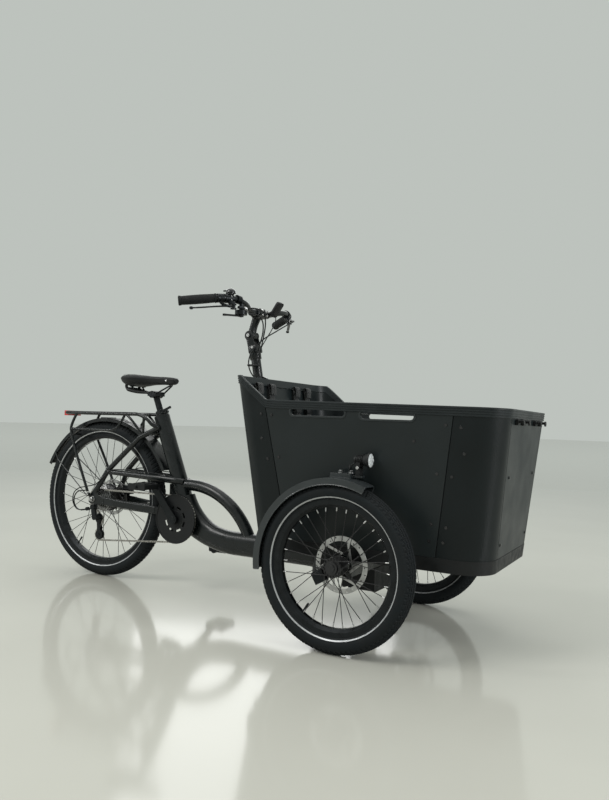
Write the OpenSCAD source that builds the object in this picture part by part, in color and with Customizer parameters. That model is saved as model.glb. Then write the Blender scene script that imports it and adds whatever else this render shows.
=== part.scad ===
// Front-loading cargo trike: rear-driven frame, two front wheels and a
// cargo box that steer together on a pivot below the box floor.
// Millimetres, +X forward, +Y to the rider's left, +Z up, ground at z = 0.

/* [Wheels] */
// Outer radius of the rear tyre
rear_r = 340; // [334:1:342]
// Outer radius of each front tyre
front_r = 264; // [258:1:266]
// Width of all three tyres
tyre_w = 60; // [54:1:60]
// Distance from the rear axle to the front axle
wheelbase = 1341; // [1336:1:1346]
// Distance between the middles of the two front tyres
track = 764; // [760:1:776]

/* [Frame] */
// Diameter of the seat tube
seat_tube_d = 66; // [60:1:68]
// Height of the lower main tube's oval section
main_tube_h = 92; // [84:1:92]
// Width of the lower main tube's oval section
main_tube_w = 64; // [56:1:64]
// Diameter of the upper curved tube
upper_tube_d = 47; // [40:1:50]
// Length of each crank, axle to axle
crank_len = 170; // [160:1:175]

/* [Cargo box] */
// Thickness of the outer skin panels
skin = 4; // [3:0.5:4]
// Thickness of the corner panels
corner_t = 9; // [8:0.5:10]
// Height of the ribbed edge trim
trim_h = 28; // [24:1:32]
// Height of the hand slots in the sides
slot_h = 26; // [20:1:28]

/* [Seat] */
// Diameter of the seatpost
post_d = 27.2; // [25.4:0.1:27.2]

/* [Hidden] */
$fn = 48;

black = "#1b1c1e";
grey = "#3a3c3f";
steel = "#b9bbbd";
rubber = "#141414";
sides = [-1, 1];                 // right, left

// Axes that run across the trike, as [x, z]
rear_axis = [0, 340];
front_axis = [wheelbase, front_r];
crank_axis = [447, 293];
hanger_axis = [12, 306];         // derailleur mount
guide_axis = [20, 250];          // upper derailleur wheel
tension_axis = [27, 186];        // lower derailleur wheel
hinge_axis = [751, 1042];        // stem hinge
clamp_axis = [776, 1129];        // handlebar clamp

pivot_x = 1100;                  // steering pivot
crank_angle = 130;               // right crank, up from forward
lean = 22.83;                    // seat tube, back from vertical
seat_top_z = 712;
ring_r = 90.5;
chain_y = -50;
hook_z = 728;
hook_reach = 25;                 // from the box front to the hook ends

// Points on the seat tube and steering column axes at height z
function seat_axis(z) = [296 + (735 - z) * 0.4209, 0, z];
function column_x(z) = 787 + (883 - z) * 0.2;
function column_axis(z) = [column_x(z), 0, z];

// Box walls slope outward above the base
box_z = 277;
side_tilt = 5.71;
front_tilt = 5.94;
rear_tilt = 7.41;
function half_width(z) = 273 + (z - box_z) * 0.1;
function front_x(z) = 1784 + (z - box_z) * 0.104;
function rear_x(z) = 965 - (z - box_z) * 0.13;
function rear_seam_x(z) = 1026 + (770 - z) * 0.178;
function front_seam_x(z) = 1683 - (737 - z) * 0.1346;

// Middle of the overall length, measured from the rear axle
mid_x = (front_x(hook_z) + hook_reach - rear_r) / 2;

// ---------- helpers ----------
module place() translate([-mid_x, 0, 0]) children();
function to_side(p, side) = [p[0], p[1] * side, p[2]];
function side_points(points, side) = [for (p = points) to_side(p, side)];
// child profile extruded from one point to another
module bar(from, to) {
  v = to - from;
  len = norm(v);
  translate(from) rotate([0, acos(v[2] / len), atan2(v[1], v[0])]) linear_extrude(len) children();
}
module rod(from, to, d) {
  v = to - from;
  len = norm(v);
  translate(from) rotate([0, acos(v[2] / len), atan2(v[1], v[0])]) cylinder(h = len, d = d);
}
module ball(p, d) translate(p) sphere(d = d);
module block(corner, size) translate(corner) cube(size);
// round tube through a list of points
module path(points, d) {
  for (i = [0 : len(points) - 2]) rod(points[i], points[i + 1], d);
  for (i = [1 : len(points) - 2]) ball(points[i], d * 1.01 + 0.4);
}
// child profile swept about a cross axis, angles up from forward
module arc_xz(axis, start, end, r = 0, y = 0)
  translate([axis[0], y, axis[1]]) rotate([90, 0, 0]) rotate([0, 0, start])
    rotate_extrude(angle = end - start) translate([r, 0]) children();
module stadium(length, width) {
  for (end = sides) translate([end * (length - width) / 2, 0]) circle(d = width);
  square([length - width, width], center = true);
}
// cylinder across the trike from y0 to y1
module cross_cyl(axis, y0, y1, d)
  translate([axis[0], max(y0, y1), axis[1]]) rotate([90, 0, 0]) cylinder(h = abs(y1 - y0), d = d);
// coaxial cylinders, rows of [base z, height, radius]
module discs(rows) for (row = rows) translate([0, 0, row[0]]) cylinder(h = row[1], r = row[2]);
// channel section of a mudguard, open toward the axle
module fender_profile(outer_r, edge_r, half_w, wall) {
  crown_r = outer_r - wall;
  inner_w = half_w - wall;
  polygon([[outer_r, -half_w], [outer_r, half_w], [edge_r, half_w], [edge_r, inner_w],
    [crown_r, inner_w], [crown_r, -inner_w], [edge_r, -inner_w], [edge_r, -half_w]]);
}
// origin at the top of the seat tube, z up the tube
module seat_frame() translate(seat_axis(seat_top_z)) rotate([0, -lean, 0]) children();

// ---------- frame ----------
module main_tubes() {
  rod(seat_axis(292), seat_axis(seat_top_z), seat_tube_d);
  // upper curved tube
  rod([432, 0, 431], [492, 0, 431], upper_tube_d - 0.8);
  arc_xz([480, 105.6], 26, 90, r = 325.4) circle(d = upper_tube_d);
  // lower main tube
  bar([705, 0, 216], [1080, 0, 216]) stadium(main_tube_h - 0.8, main_tube_w - 0.8);
  arc_xz([720, 673], 244, 270, r = 457) stadium(main_tube_h, main_tube_w);
  bar([530, 0, 257.3], [452, 0, 294]) stadium(main_tube_h - 1, main_tube_w - 1);
  // curved tube between the seat tube and the lower tube
  arc_xz([695, 482], 203, 258, r = 252) circle(d = 62);
  // steering head
  translate([pivot_x, 0, 140]) cylinder(h = 122, d = 72);
}
// blocks and cross tubes around the seat tube
module seat_tube_joints() {
  cross_cyl(crank_axis, -36.5, 36.5, 50);
  block([357, -30, 301.5], [32, 60, 26]);
  rod([374, 0, 315], [450, 0, 300], 26);
  block([378, -16, 318], [70, 32, 112]);
  cross_cyl([285, 641], -47, 47, 24);
  rod([285, 0, 641], [335, 0, 645], 30);
}
module rear_stays(side) {
  path(side_points([[326, 34, 664], [233, 50, 618], [70, 62, 468], [16, 76, 374]], side), 22);
  rod([68, side * 62.5, 462], [304, side * 51, 453], 19);
  rod([296, side * 52, 453.4], [424, side * 30, 444], 24);
  // flat lower stay, in four lengths
  bar([4, side * 71, 339], [122, side * 68.4, 331]) stadium(34, 9);
  bar([116, side * 68.2, 331], [329, side * 43.8, 318]) stadium(33, 14.6);
  bar([322, side * 44.6, 318.3], [362, side * 32.4, 314]) stadium(34, 14);
  bar([352, side * 34.5, 314.8], [440, side * 26, 303]) stadium(32.6, 14.8);
  // dropout plate
  translate([0, side > 0 ? 75.5 : -67.5, 0]) rotate([90, 0, 0]) linear_extrude(8)
    polygon([[-24, 326], [-24, 352], [-10, 366], [10, 392], [34, 392], [30, 360],
      [62, 346], [62, 320], [24, 318], [-10, 318]]);
}
module main_frame() color(black) place() difference() {
  union() {
    main_tubes();
    seat_tube_joints();
    for (side = sides) rear_stays(side);
    // derailleur hanger
    cross_cyl(hanger_axis, -75.3, -67.9, 26);
  }
  // bores: seat tube, post, pivot, crank, rear axle
  rod(seat_axis(400), seat_axis(650), seat_tube_d - 6);
  rod(seat_axis(640), seat_axis(720), post_d + 0.1);
  translate([pivot_x, 0, 130]) cylinder(h = 140, d = 40.1);
  cross_cyl(crank_axis, -40, 40, 30.1);
  translate([0, 0, rear_axis[1]]) rotate([0, 180, 0]) cross_cyl([0, 0], -80, 80, 12.2);
}

// ---------- seat ----------
cam_pin = [24, -20];             // x, y in the seat frame
cam_pin_d = 4;
module seat_collar() color(black) place() seat_frame() {
  difference() {
    union() {
      translate([0, 0, 0.4]) cylinder(h = 22, d = 42);
      for (y = [-13, 3]) block([14, y, 4], [16, 9, 15]);
    }
    translate([0, 0, -1]) cylinder(h = 30, d = 27.6);
    block([8, -4, -1], [30, 7, 30]);
  }
  // skewer, nut, and the fork that carries the cam pin
  cross_cyl([cam_pin[0], 11.5], -12, 14, 6);
  cross_cyl([cam_pin[0], 11.5], 12, 17, 13);
  for (z = [3, 17]) block([18, -25, z], [12, 13, 3]);
  translate([cam_pin[0], cam_pin[1], 3]) cylinder(h = 17, d = cam_pin_d);
}
module seat_lever() color(grey) place() seat_frame()
  translate([cam_pin[0], cam_pin[1], 0]) difference() {
    union() {
      translate([0, 0, 6.5]) cylinder(h = 10, d = 12);
      block([0, -4, 7], [46, 6, 9]);
      translate([46, -1, 7]) cylinder(h = 9, d = 10);
    }
    cylinder(h = 30, d = cam_pin_d + 0.12);
  }
module seatpost() color(black) place() seat_frame() difference() {
  union() {
    translate([0, 0, -160]) cylinder(h = 252, d = post_d);
    // level saddle clamp
    rotate([0, lean, 0]) {
      block([-58, -30, 84], [44, 60, 14]);
      cross_cyl([-36, 91], -30, 30, 30);
    }
  }
  translate([0, 0, -170]) cylinder(h = 240, d = post_d - 5);
  rotate([0, lean, 0]) for (side = sides)
    translate([-90, side * 21, 99]) rotate([0, 90, 0]) cylinder(h = 90, d = 7.2);
}
module saddle_rails() color("#2b2c2e") place() for (side = sides)
  path(side_points([[352, 5, 843], [330, 12, 830], [298, 21, 811], [220, 21, 811],
    [186, 26, 814], [160, 34, 836]], side), 7);
module saddle() color(rubber) place() difference() {
  hull() {
    // rounded pads, rows of [x, y, z, radius]
    for (side = sides, pad = [[150, 60, 866, 22], [196, 58, 868, 19], [262, 22, 868, 16]])
      translate(to_side(pad, side)) sphere(r = pad[3], $fn = 28);
    // nose
    translate([366, 0, 863]) sphere(r = 15, $fn = 28);
  }
  // hollow underside
  block([140, -52, 800], [170, 104, 53]);
  block([300, -16, 800], [62, 32, 51]);
}

// ---------- rack and rear fender ----------
module rear_rack() color(black) place() {
  for (side = sides) {
    path(side_points([[-203, 60, 714], [-195, 68, 714], [222, 68, 717], [262, 64, 708],
      [296, 58, 680]], side), 15);
    path(side_points([[-124, 70, 712], [-156, 72, 645], [-134, 76, 587], [-84, 82, 491],
      [-22, 86, 372]], side), 12);
    path(side_points([[-154, 72, 642], [96, 70, 646], [128, 69, 664], [160, 68, 712]], side), 11);
    rod([168, side * 68, 714], [244, side * 68, 655], 11);
    cross_cyl([-16, 360], side * 81, side * 91, 16);
  }
  // cross tubes
  rod([-203, -61, 714], [-203, 61, 714], 15);
  for (x = [-120, -20, 80, 180]) rod([x, -68, 715], [x, 68, 715], 11);
  // peg on the right
  cross_cyl([-140, 617], -74, -62, 8);
}
module tail_light() color("#a01414") place() block([-238, -38, 701], [24, 76, 22]);
module rear_fender() color(black) place() {
  arc_xz([17, 312], 27, 154.4) fender_profile(383, 368, 33, 2.5);
  for (side = sides)
    path(side_points([[-292, 34, 532], [-240, 62, 500], [-30, 80, 352]], side), 4.5);
  block([-18, -30, 694], [34, 60, 4]);
}

// ---------- chain and rear axle ----------
// chain wrapped round an axis
module chain_arc(axis, r, start, end)
  arc_xz(axis, start, end, y = chain_y) translate([r, -3.2]) square([6, 6.4]);
// straight chain between two [x, z] points
module chain_run(from, to)
  bar([from[0], chain_y, from[1]], [to[0], chain_y, to[1]]) square([5.4, 5.6], center = true);
module chain() color("#5b5b58") place() {
  chain_arc(crank_axis, 91, -94, 91);
  chain_run([447, 387.2], [0, 380.8]);
  chain_arc(rear_axis, 37.6, 89, 275);
  chain_run([2.4, 300.1], [26.4, 271.4]);
  chain_arc(guide_axis, 19.4, -20, 70);
  chain_run([40, 243], [8, 202]);
  chain_arc(tension_axis, 22.4, 140, 275);
  chain_run([29, 160.6], [440, 199.2]);
}
// cage plate with its right face at y
module cage_plate(y) difference() {
  union() {
    cross_cyl(guide_axis, y, y + 1.8, 30);
    cross_cyl(tension_axis, y, y + 1.8, 40);
    rise = guide_axis - tension_axis;
    translate([tension_axis[0], y, tension_axis[1]]) rotate([0, atan2(rise[0], rise[1]), 0])
      block([-9, 0, 0], [18, 1.8, 64]);
  }
  cross_cyl(tension_axis, y - 1, y + 3, 12);
}
module derailleur() color("#202123") place() {
  cross_cyl(hanger_axis, -90, -76, 24);
  bar([16.6, -84, 296], [24, -84, 266]) square([22, 10.6], center = true);
  cross_cyl([24, 264], -88, -58, 26);
  for (y = [-45.2, -58]) cage_plate(y);
  // wheels and their pins
  cross_cyl(guide_axis, -51.6, -48.4, 34);
  cross_cyl(tension_axis, -51.6, -48.4, 42);
  for (axis = [guide_axis, tension_axis]) cross_cyl(axis, -60, -43.2, 8);
  cross_cyl([24, 262], -58, -56, 34);
  rod([-6, -84, 296], [-58, -84, 288], 7);
  cross_cyl([-20, 296], -90, -78, 16);
  // cable housing loop
  arc_xz([-62, 330], 95, 268, r = 42, y = -84) circle(d = 5);
  rod([-65, -84, 372], [-38, -84, 375], 5);
}
module rear_axle() color(steel) place() {
  cross_cyl(rear_axis, -94, 94, 12);
  // washers and nuts
  for (side = sides) {
    cross_cyl(rear_axis, side * 75.8, side * 77.5, 24);
    translate([rear_axis[0], side * 83, rear_axis[1]]) rotate([90, 0, 0])
      cylinder(h = 10, d = 21, center = true, $fn = 6);
  }
}
module rear_caliper() color("#232426") place() difference() {
  union() {
    block([62, 41, 360], [44, 25, 38]);
    cross_cyl([84, 378], 40, 68, 30);
    block([58, 56, 350], [30, 5, 20]);
  }
  // rotor slot
  cross_cyl(rear_axis, 48.8, 53.2, 166);
}

// ---------- drive ----------
module at_pedal(side) translate([crank_axis[0] - side * crank_len * cos(crank_angle), 0,
  crank_axis[1] - side * crank_len * sin(crank_angle)]) children();
module crank_arm(side)
  translate([crank_axis[0], side * 71, crank_axis[1]]) rotate([90, 0, 0])
    rotate([0, 0, side > 0 ? crank_angle + 180 : crank_angle]) linear_extrude(13, center = true) {
      circle(d = 40);
      translate([crank_len, 0]) circle(d = 26);
      polygon([[0, 19], [crank_len, 12.5], [crank_len, -12.5], [0, -19]]);
    }
module crankset() color("#26272a") place() {
  cross_cyl(crank_axis, -66, 66, 30);
  for (side = sides) {
    crank_arm(side);
    cross_cyl(crank_axis, side * 77, side * 79.5, 24);
    // pedal axle and its end cap
    at_pedal(side) {
      cross_cyl([0, 0], side * 76, side * 176, 14);
      cross_cyl([0, 0], side * 184, side * 176, 10);
    }
  }
}
module chainring() color("#3c3d3f") place()
  translate([crank_axis[0], -48.6, crank_axis[1]]) rotate([90, 0, 0])
    linear_extrude(2.8) difference() {
      // 46 square teeth, four points each
      polygon([for (i = [0 : 183])
        let (a = i * 360 / 184, r = (i % 4 < 2) ? ring_r : ring_r - 4.5) [r * cos(a), r * sin(a)]]);
      circle(d = 31);
      // five windows
      for (a = [0 : 72 : 288]) rotate(a) intersection() {
        difference() {
          circle(r = 74);
          circle(r = 40);
        }
        polygon([[0, 0], [120, -58], [120, 58]]);
      }
    }
module chain_guard() color(black) place()
  translate([crank_axis[0], -56, crank_axis[1]]) rotate([90, 0, 0]) difference() {
    union() {
      cylinder(h = 2.4, r = 100, $fn = 96);
      cylinder(h = 3.4, r = 34);
      rotate_extrude($fn = 96) translate([96, 0]) square([4, 4]);
    }
    translate([0, 0, -1]) cylinder(h = 6, d = 31);
    // curved slots
    for (a = [10 : 45 : 355]) rotate([0, 0, a]) translate([0, 0, -1])
      rotate_extrude(angle = 27) translate([44, 0]) square([8, 6]);
  }
module pedal(side) color("#1d1e20") place() at_pedal(side) translate([0, side * 134, 0])
  difference() {
    union() {
      for (x = [-44, 38]) block([x, -42, -10], [6, 84, 20]);
      for (y = [-42, 35]) block([-42, y, -13], [84, 7, 26]);
      block([-15, -41, -12], [30, 82, 24]);
      for (x = [-28, 22]) block([x, -40, -9], [5, 80, 18]);
    }
    cross_cyl([0, 0], -60, 60, 14.1);
  }
module pedal_right() pedal(-1);
module pedal_left() pedal(1);
cog_radii = [62, 55, 48.5, 42, 37, 32, 28];
cog_pitch = 4.8;
module cassette() color("#8d8e8f") place() difference() {
  union() {
    for (i = [0 : 6])
      cross_cyl(rear_axis, -30 - i * cog_pitch, -32 - i * cog_pitch, 2 * cog_radii[i]);
    cross_cyl(rear_axis, -29, -61.5, 44);
  }
  cross_cyl(rear_axis, -20, -70, 34.12);
}

// ---------- wheels, built about z ----------
front_rim_r = 209;
front_rim_depth = 24;
rear_rim_r = 285;
rear_rim_depth = 21;
hub_black = "#232427";
rim_black = "#202124";
front_spoke_grey = "#4a4b4d";

module tyre(r, rim_r) rotate_extrude($fn = 96) difference() {
  union() {
    intersection() {
      translate([r - tyre_w / 2, 0]) circle(d = tyre_w, $fn = 40);
      translate([rim_r + 0.4, -40]) square([80, 80]);
    }
    // beads
    for (side = sides) translate([rim_r - 7, side * 10.5 - 2.5]) square([9, 5]);
  }
  translate([r - tyre_w / 2, 0]) circle(d = tyre_w - 9, $fn = 40);
  translate([rim_r - 10, -7.9]) square([20, 15.8]);
}
module rim(r, depth) rotate_extrude($fn = 96)
  polygon([[r - depth, -8], [r - depth, 8], [r - depth + 9, 17], [r, 18], [r, 14.5],
    [r - 8, 14.2], [r - 10, 12], [r - 11, 0], [r - 10, -12], [r - 8, -14.2], [r, -14.5],
    [r, -18], [r - depth + 9, -17]]);
// crossed spokes from two hub flanges, with a nipple at the rim
module spokes(count, hub_r, flange_z, rim_r) for (i = [0 : count - 1]) {
  a = i * 360 / count;
  flange = i % 2;
  cross = (floor(i / 2) % 2 == 0) ? 46 : -46;
  hub_end = [hub_r * cos(a + cross), hub_r * sin(a + cross), flange_z[flange]];
  rim_end = [rim_r * cos(a), rim_r * sin(a), flange == 0 ? -2.5 : 2.5];
  inward = (hub_end - rim_end) / norm(hub_end - rim_end);
  rod(hub_end, rim_end, 2.4);
  rod(rim_end, rim_end + inward * 11, 4.2);
  ball(hub_end, 4.6);
}
module rotor(r) difference() {
  union() {
    difference() {
      cylinder(h = 2, r = r);
      translate([0, 0, -1]) cylinder(h = 4, r = r - 16);
    }
    for (a = [0 : 60 : 300])
      rotate([0, 0, a + 12]) translate([r - 17, -4, 0]) rotate([0, 0, 28])
        block([-(r - 36), 0, 0], [r - 34, 8, 2]);
    cylinder(h = 2, r = 27);
  }
  // holes in two staggered rows
  for (a = [0 : 15 : 345]) rotate([0, 0, a])
    translate([r - 5 - (a % 30 == 0 ? 5 : 0), 0, -1]) cylinder(h = 4, r = 2.4, $fn = 16);
}

// local z points outward
module front_wheel(side) place()
  translate([wheelbase, side * track / 2, front_r]) rotate([-90 * side, 0, 0]) children();
module front_hub(side) front_wheel(side) {
  color(hub_black) difference() {
    discs([[-46, 66, 19], [-25, 3, 31], [16, 3, 31], [-44, 6, 25], [19, 6, 20], [25, 3, 12]]);
    discs([[-50, 68, 10.05]]);
  }
  color(steel) difference() {
    translate([0, 0, -48]) rotor(90);
    discs([[-50, 5, 10.05]]);
  }
}
module front_spokes() spokes(32, 27, [-27.5, 21.5], front_rim_r - front_rim_depth - 1.5);
module front_right_hub() front_hub(-1);
module front_left_hub() front_hub(1);
module front_right_rim() color(rim_black) front_wheel(-1) rim(front_rim_r, front_rim_depth);
module front_left_rim() color(rim_black) front_wheel(1) rim(front_rim_r, front_rim_depth);
module front_right_tyre() color(rubber) front_wheel(-1) tyre(front_r, front_rim_r);
module front_left_tyre() color(rubber) front_wheel(1) tyre(front_r, front_rim_r);
module front_right_spokes() color(front_spoke_grey) front_wheel(-1) front_spokes();
module front_left_spokes() color(front_spoke_grey) front_wheel(1) front_spokes();

// local z points left
module rear_wheel() place() translate([0, 0, rear_axis[1]]) rotate([-90, 0, 0]) children();
module rear_hub() rear_wheel() {
  color(hub_black) difference() {
    discs([[-20, 48, 54], [-23, 3.5, 60], [27, 3.5, 60], [-62, 42, 17], [30, 20.5, 24],
      [-66, 132, 10]]);
    discs([[-70, 140, 6.06]]);
  }
  color(steel) difference() {
    translate([0, 0, 50]) rotor(80);
    discs([[48, 6, 10.2]]);
  }
}
module rear_rim() color(rim_black) rear_wheel() rim(rear_rim_r, rear_rim_depth);
module rear_tyre() color(rubber) rear_wheel() tyre(rear_r, rear_rim_r);
module rear_spokes() color("#6a6b6d") rear_wheel()
  spokes(36, 56, [-25.8, 33], rear_rim_r - rear_rim_depth - 1.5);

// ---------- steering module ----------
module pivot_post() {
  translate([pivot_x, 0, 127]) cylinder(h = 148, d = 40);
  translate([pivot_x, 0, 127]) cylinder(h = 12, d = 58, $fn = 6);
  translate([pivot_x, 0, 262.6]) cylinder(h = 12, d = 118);
}
// beam end plate, stub axle and caliper arm
module axle_end(side) {
  block([wheelbase - 32, side > 0 ? 318 : -326, 222], [64, 8, 44]);
  cross_cyl([wheelbase, 266], side * 316, side * 327, 60);
  cross_cyl(front_axis, side * 322, side * (track / 2 + 17), 20);
  bar([wheelbase - 10, side * 321.6, 250], [1264, side * 321.6, 226])
    square([26, 6.2], center = true);
}
module subframe() color(black) place() difference() {
  union() {
    pivot_post();
    // cross members under the floor
    block([pivot_x - 45, -180, 272], [90, 360, 26]);
    block([wheelbase - 30, -180, 272], [60, 360, 26]);
    block([1640, -180, 272], [40, 360, 26]);
    // axle beam
    block([wheelbase - 20, -320, 222], [40, 640, 40]);
    for (side = sides) {
      block([1010, side * 160 - 20, 272], [700, 40, 26]);
      block([wheelbase - 20, side * 160 - 20, 255], [40, 40, 30]);
      axle_end(side);
    }
    // plate above the battery case
    block([1246, -94, 218.6], [94, 188, 6]);
  }
  translate([pivot_x, 0, 120]) cylinder(h = 140, d = 30);
}

// ---------- cargo box ----------
panel_gap = 1.5;                 // from each seam to a panel edge
// solid box outline between two heights, moved in by inset
module box_solid(inset, z0, z1) hull() for (z = [z0, z1], side = sides) {
  translate([rear_x(z) + 70, side * (half_width(z) - 70), z])
    cylinder(h = 0.01, r = 70 - inset, $fn = 72);
  translate([front_x(z) - 95, side * (half_width(z) - 95), z])
    cylinder(h = 0.01, r = 95 - inset, $fn = 96);
}
// [x, z] outline extruded across the full width
module side_prism(points)
  translate([0, 400, 0]) rotate([90, 0, 0]) linear_extrude(800) polygon(points);
// everything lower than drop below the top edge
module below_top(drop) side_prism([[800, 200], [800, 866 - drop],
  [928 + drop * 0.3, 862 - drop], [1030 + drop * 0.55, 780 - drop],
  [1070 + drop * 0.3, 778 - drop], [1900, 766 - drop], [1900, 200]]);
// between the side seams, moved in by inset
module side_region(inset) side_prism([[rear_seam_x(900) + inset, 900],
  [front_seam_x(900) - inset, 900], [front_seam_x(250) - inset, 250],
  [rear_seam_x(250) + inset, 250]]);
// between the end seams, moved in by inset
module end_region(inset) {
  top_y = half_width(900) - 93 - inset;
  base_y = half_width(250) - 93 - inset;
  rotate([90, 0, 90]) linear_extrude(2000)
    polygon([[-top_y, 900], [top_y, 900], [base_y, 250], [-base_y, 250]]);
}
module hand_slots(x0, x1, z) for (side = sides)
  translate([(x0 + x1) / 2, side * 360, z]) rotate([90, 0, 0])
    linear_extrude(120, center = true) stadium(x1 - x0, slot_h);
module skin_wall() difference() {
  box_solid(0, 312, 880);
  box_solid(skin, 300, 890);
}
module box_side_panels() color(grey) place() difference() {
  intersection() {
    skin_wall();
    side_region(panel_gap);
    below_top(trim_h + 0.6);
  }
  hand_slots(1126, 1328, 740);
  hand_slots(1380, 1562, 735);
}
module box_end_panels() color(grey) place() intersection() {
  skin_wall();
  end_region(panel_gap);
  below_top(trim_h + 0.6);
}
module corner_wall(outer_inset, region_inset) difference() {
  box_solid(outer_inset, 312, 880);
  box_solid(corner_t, 300, 890);
  side_region(region_inset);
  end_region(region_inset);
}
// outer corners and the flanges that lap inside the skin
module corner_panels() color(grey) place() intersection() {
  below_top(trim_h + 0.6);
  union() {
    corner_wall(0, -panel_gap);
    corner_wall(skin + 0.4, 24);
  }
}
module box_floor() color("#2a2b2c") place() translate([0, 0, 303]) linear_extrude(10) {
  w = half_width(303) - corner_t - 2;
  back = rear_x(303) + corner_t + 3;
  front = front_x(303) - corner_t - 2;
  polygon([[back, -w + 64], [back + 20, -w + 19], [back + 64, -w], [front - 90, -w],
    [front - 26, -w + 26], [front, -w + 90], [front, w - 90], [front - 26, w - 26],
    [front - 90, w], [back + 64, w], [back + 20, w - 19], [back, w - 64]]);
}
module rim_trim() color("#4a4c4f") place() intersection() {
  difference() {
    box_solid(-4, 700, 880);
    box_solid(skin + 7, 690, 890);
  }
  difference() {
    below_top(0);
    below_top(trim_h);
  }
}
module base_trim() color("#2b2c2e") place() difference() {
  box_solid(-1, 269, 311.5);
  box_solid(4, 260, 320);
}
module bench() color("#2f3032") place() {
  translate([0, 0, 548]) linear_extrude(12)
    polygon([[946, -205], [1006, -282], [1190, -282], [1190, 282], [1006, 282], [946, 205]]);
  block([1176, -262, 315], [12, 524, 233.5]);
}
module seat_cushion() color("#202022") place() translate([0, 0, 560.6]) linear_extrude(46)
  polygon([[948, -200], [1004, -270], [1170, -272], [1184, -258],
    [1184, 258], [1170, 272], [1004, 270], [948, 200]]);
module harness() color("#101011") place() for (side = sides) {
  for (y = [92, 180]) {
    bar([914, side * y, 836], [944, side * y, 616]) square([3, 36], center = true);
    block([946, side * y - 18, 607.2], [110, 36, 3]);
  }
  block([1052, side * 136 - 26, 607.2], [50, 52, 14]);
}

// ---------- fenders and lamps ----------
lamp_y = 341;
module front_fenders() color("#3d3f42") place() for (side = sides) {
  arc_xz(front_axis, 67, 187, y = side * track / 2) fender_profile(276, 256, 38, 2.6);
  // arm to the box, lamp tab and bolt heads
  block([1306, side > 0 ? 300.8 : -366, 538], [70, 65.2, 14]);
  block([1372, side * 337 - 11, 540], [36, 22, 7]);
  for (x = [1322, 1358]) translate([x, side * 322, 552]) cylinder(h = 6, d = 15);
}
// local z points forward, starting at x
module lamp_at(side, x) translate([0, side * lamp_y, 596]) rotate([0, 90, 0])
  translate([0, 0, x]) children();
module headlights() color("#1e1f21") place() for (side = sides) {
  difference() {
    union() {
      lamp_at(side, 1380) cylinder(h = 34, r1 = 12, r2 = 15);
      lamp_at(side, 1410) cylinder(h = 20, r1 = 15, r2 = 23);
    }
    lamp_at(side, 1416) cylinder(h = 20, r1 = 13, r2 = 22);
  }
  // forked foot
  for (y = [-13, 9]) block([1388, side * lamp_y + y, 549], [14, 4, 40]);
  block([1388, side * lamp_y - 13, 547.2], [14, 26, 4]);
}
module headlight_lenses() color("#f0f4f8") place() for (side = sides)
  lamp_at(side, 1430.3) cylinder(h = 3.6, r1 = 22.6, r2 = 21);

// ---------- hooks and rivets ----------
module tie_hooks() color("#0c0c0d") place() for (y = [-168, -88, 88, 168]) {
  block([front_x(737) + 0.3, y - 13, 720], [8, 26, 17]);
  translate([front_x(hook_z) + 8, y, 731]) rotate([0, 90, 0]) cylinder(h = 14, d = 9);
  translate([front_x(hook_z) + hook_reach - 5, y, 729]) rotate([0, 90, 0])
    cylinder(h = 5, d = 17);
}
// [x, z] on each side wall
side_rivets = [[1012, 731], [1054, 728], [1013, 648], [1036, 579], [1079, 587], [1660, 713],
  [1706, 707], [1716, 630], [1632, 566], [1678, 560], [1613, 413], [1660, 406], [1606, 361],
  [1650, 360], [1560, 661], [1098, 420], [1060, 412], [1110, 345]];
module rivet() {
  cylinder(h = 1.6, d = 9.5, $fn = 24);
  cylinder(h = 2.6, d = 6, $fn = 24);
}
module rivets() color("#8b8d90") place() {
  for (p = side_rivets, side = sides)
    translate([p[0], side * (half_width(p[1]) + 0.1), p[1]])
      rotate([-(90 + side_tilt) * side, 0, 0]) rivet();
  for (y = [-168, 168], z = [354, 560])
    translate([front_x(z) + 0.3, y, z]) rotate([0, 90 + front_tilt, 0]) rivet();
  for (y = [-170, 170], z = [360, 560, 700])
    translate([rear_x(z) - 0.3, y, z]) rotate([0, -90 - rear_tilt, 0]) rivet();
}

// ---------- battery, column and calipers ----------
module battery_case() color("#151617") place() difference() {
  block([1236, -108, 136], [122, 216, 82]);
  // bevelled lower edges
  for (side = sides) translate([1230, side * 108, 128]) rotate([side * 20, 0, 0])
    block([0, -12, -12], [140, 24, 24]);
  translate([1234, -120, 126]) rotate([0, -22, 0]) block([-30, 0, -10], [60, 240, 18]);
}
// bracket from the column to the rear wall of the box
module column_bracket(z) {
  block([column_x(z) + 14, -15, z - 15], [rear_x(z) - column_x(z) - 22, 30, 30]);
  translate([rear_x(z) - 0.8, 0, z]) rotate([0, -rear_tilt, 0])
    block([-8, -42, -26], [8, 84, 52]);
}
module steering_column() color(black) place() {
  difference() {
    rod(column_axis(402), column_axis(985), 38);
    rod(column_axis(396), column_axis(930), 32);
  }
  rod(column_axis(948), column_axis(988), 46);
  for (z = [808, 440]) column_bracket(z);
  // gusset plate
  translate([0, 3, 0]) rotate([90, 0, 0]) linear_extrude(6)
    polygon([[790, 935], [806, 930], [868, 876], [868, 869.5], [792, 869.5]]);
  // hinge fork and pin for the stem
  for (side = sides) {
    cross_cyl(hinge_axis, side * 17.5, side * 24, 38);
    bar([768, side * 20.75, 985], [hinge_axis[0], side * 20.75, hinge_axis[1]])
      square([31, 5.3], center = true);
    cross_cyl(hinge_axis, side * 21, side * 29, 18);
  }
  block([750, -25.2, 972], [38, 50.4, 30]);
  cross_cyl(hinge_axis, -26, 26, 9.9);
  cross_cyl([774, 994], -30, 30, 9);
}
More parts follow.
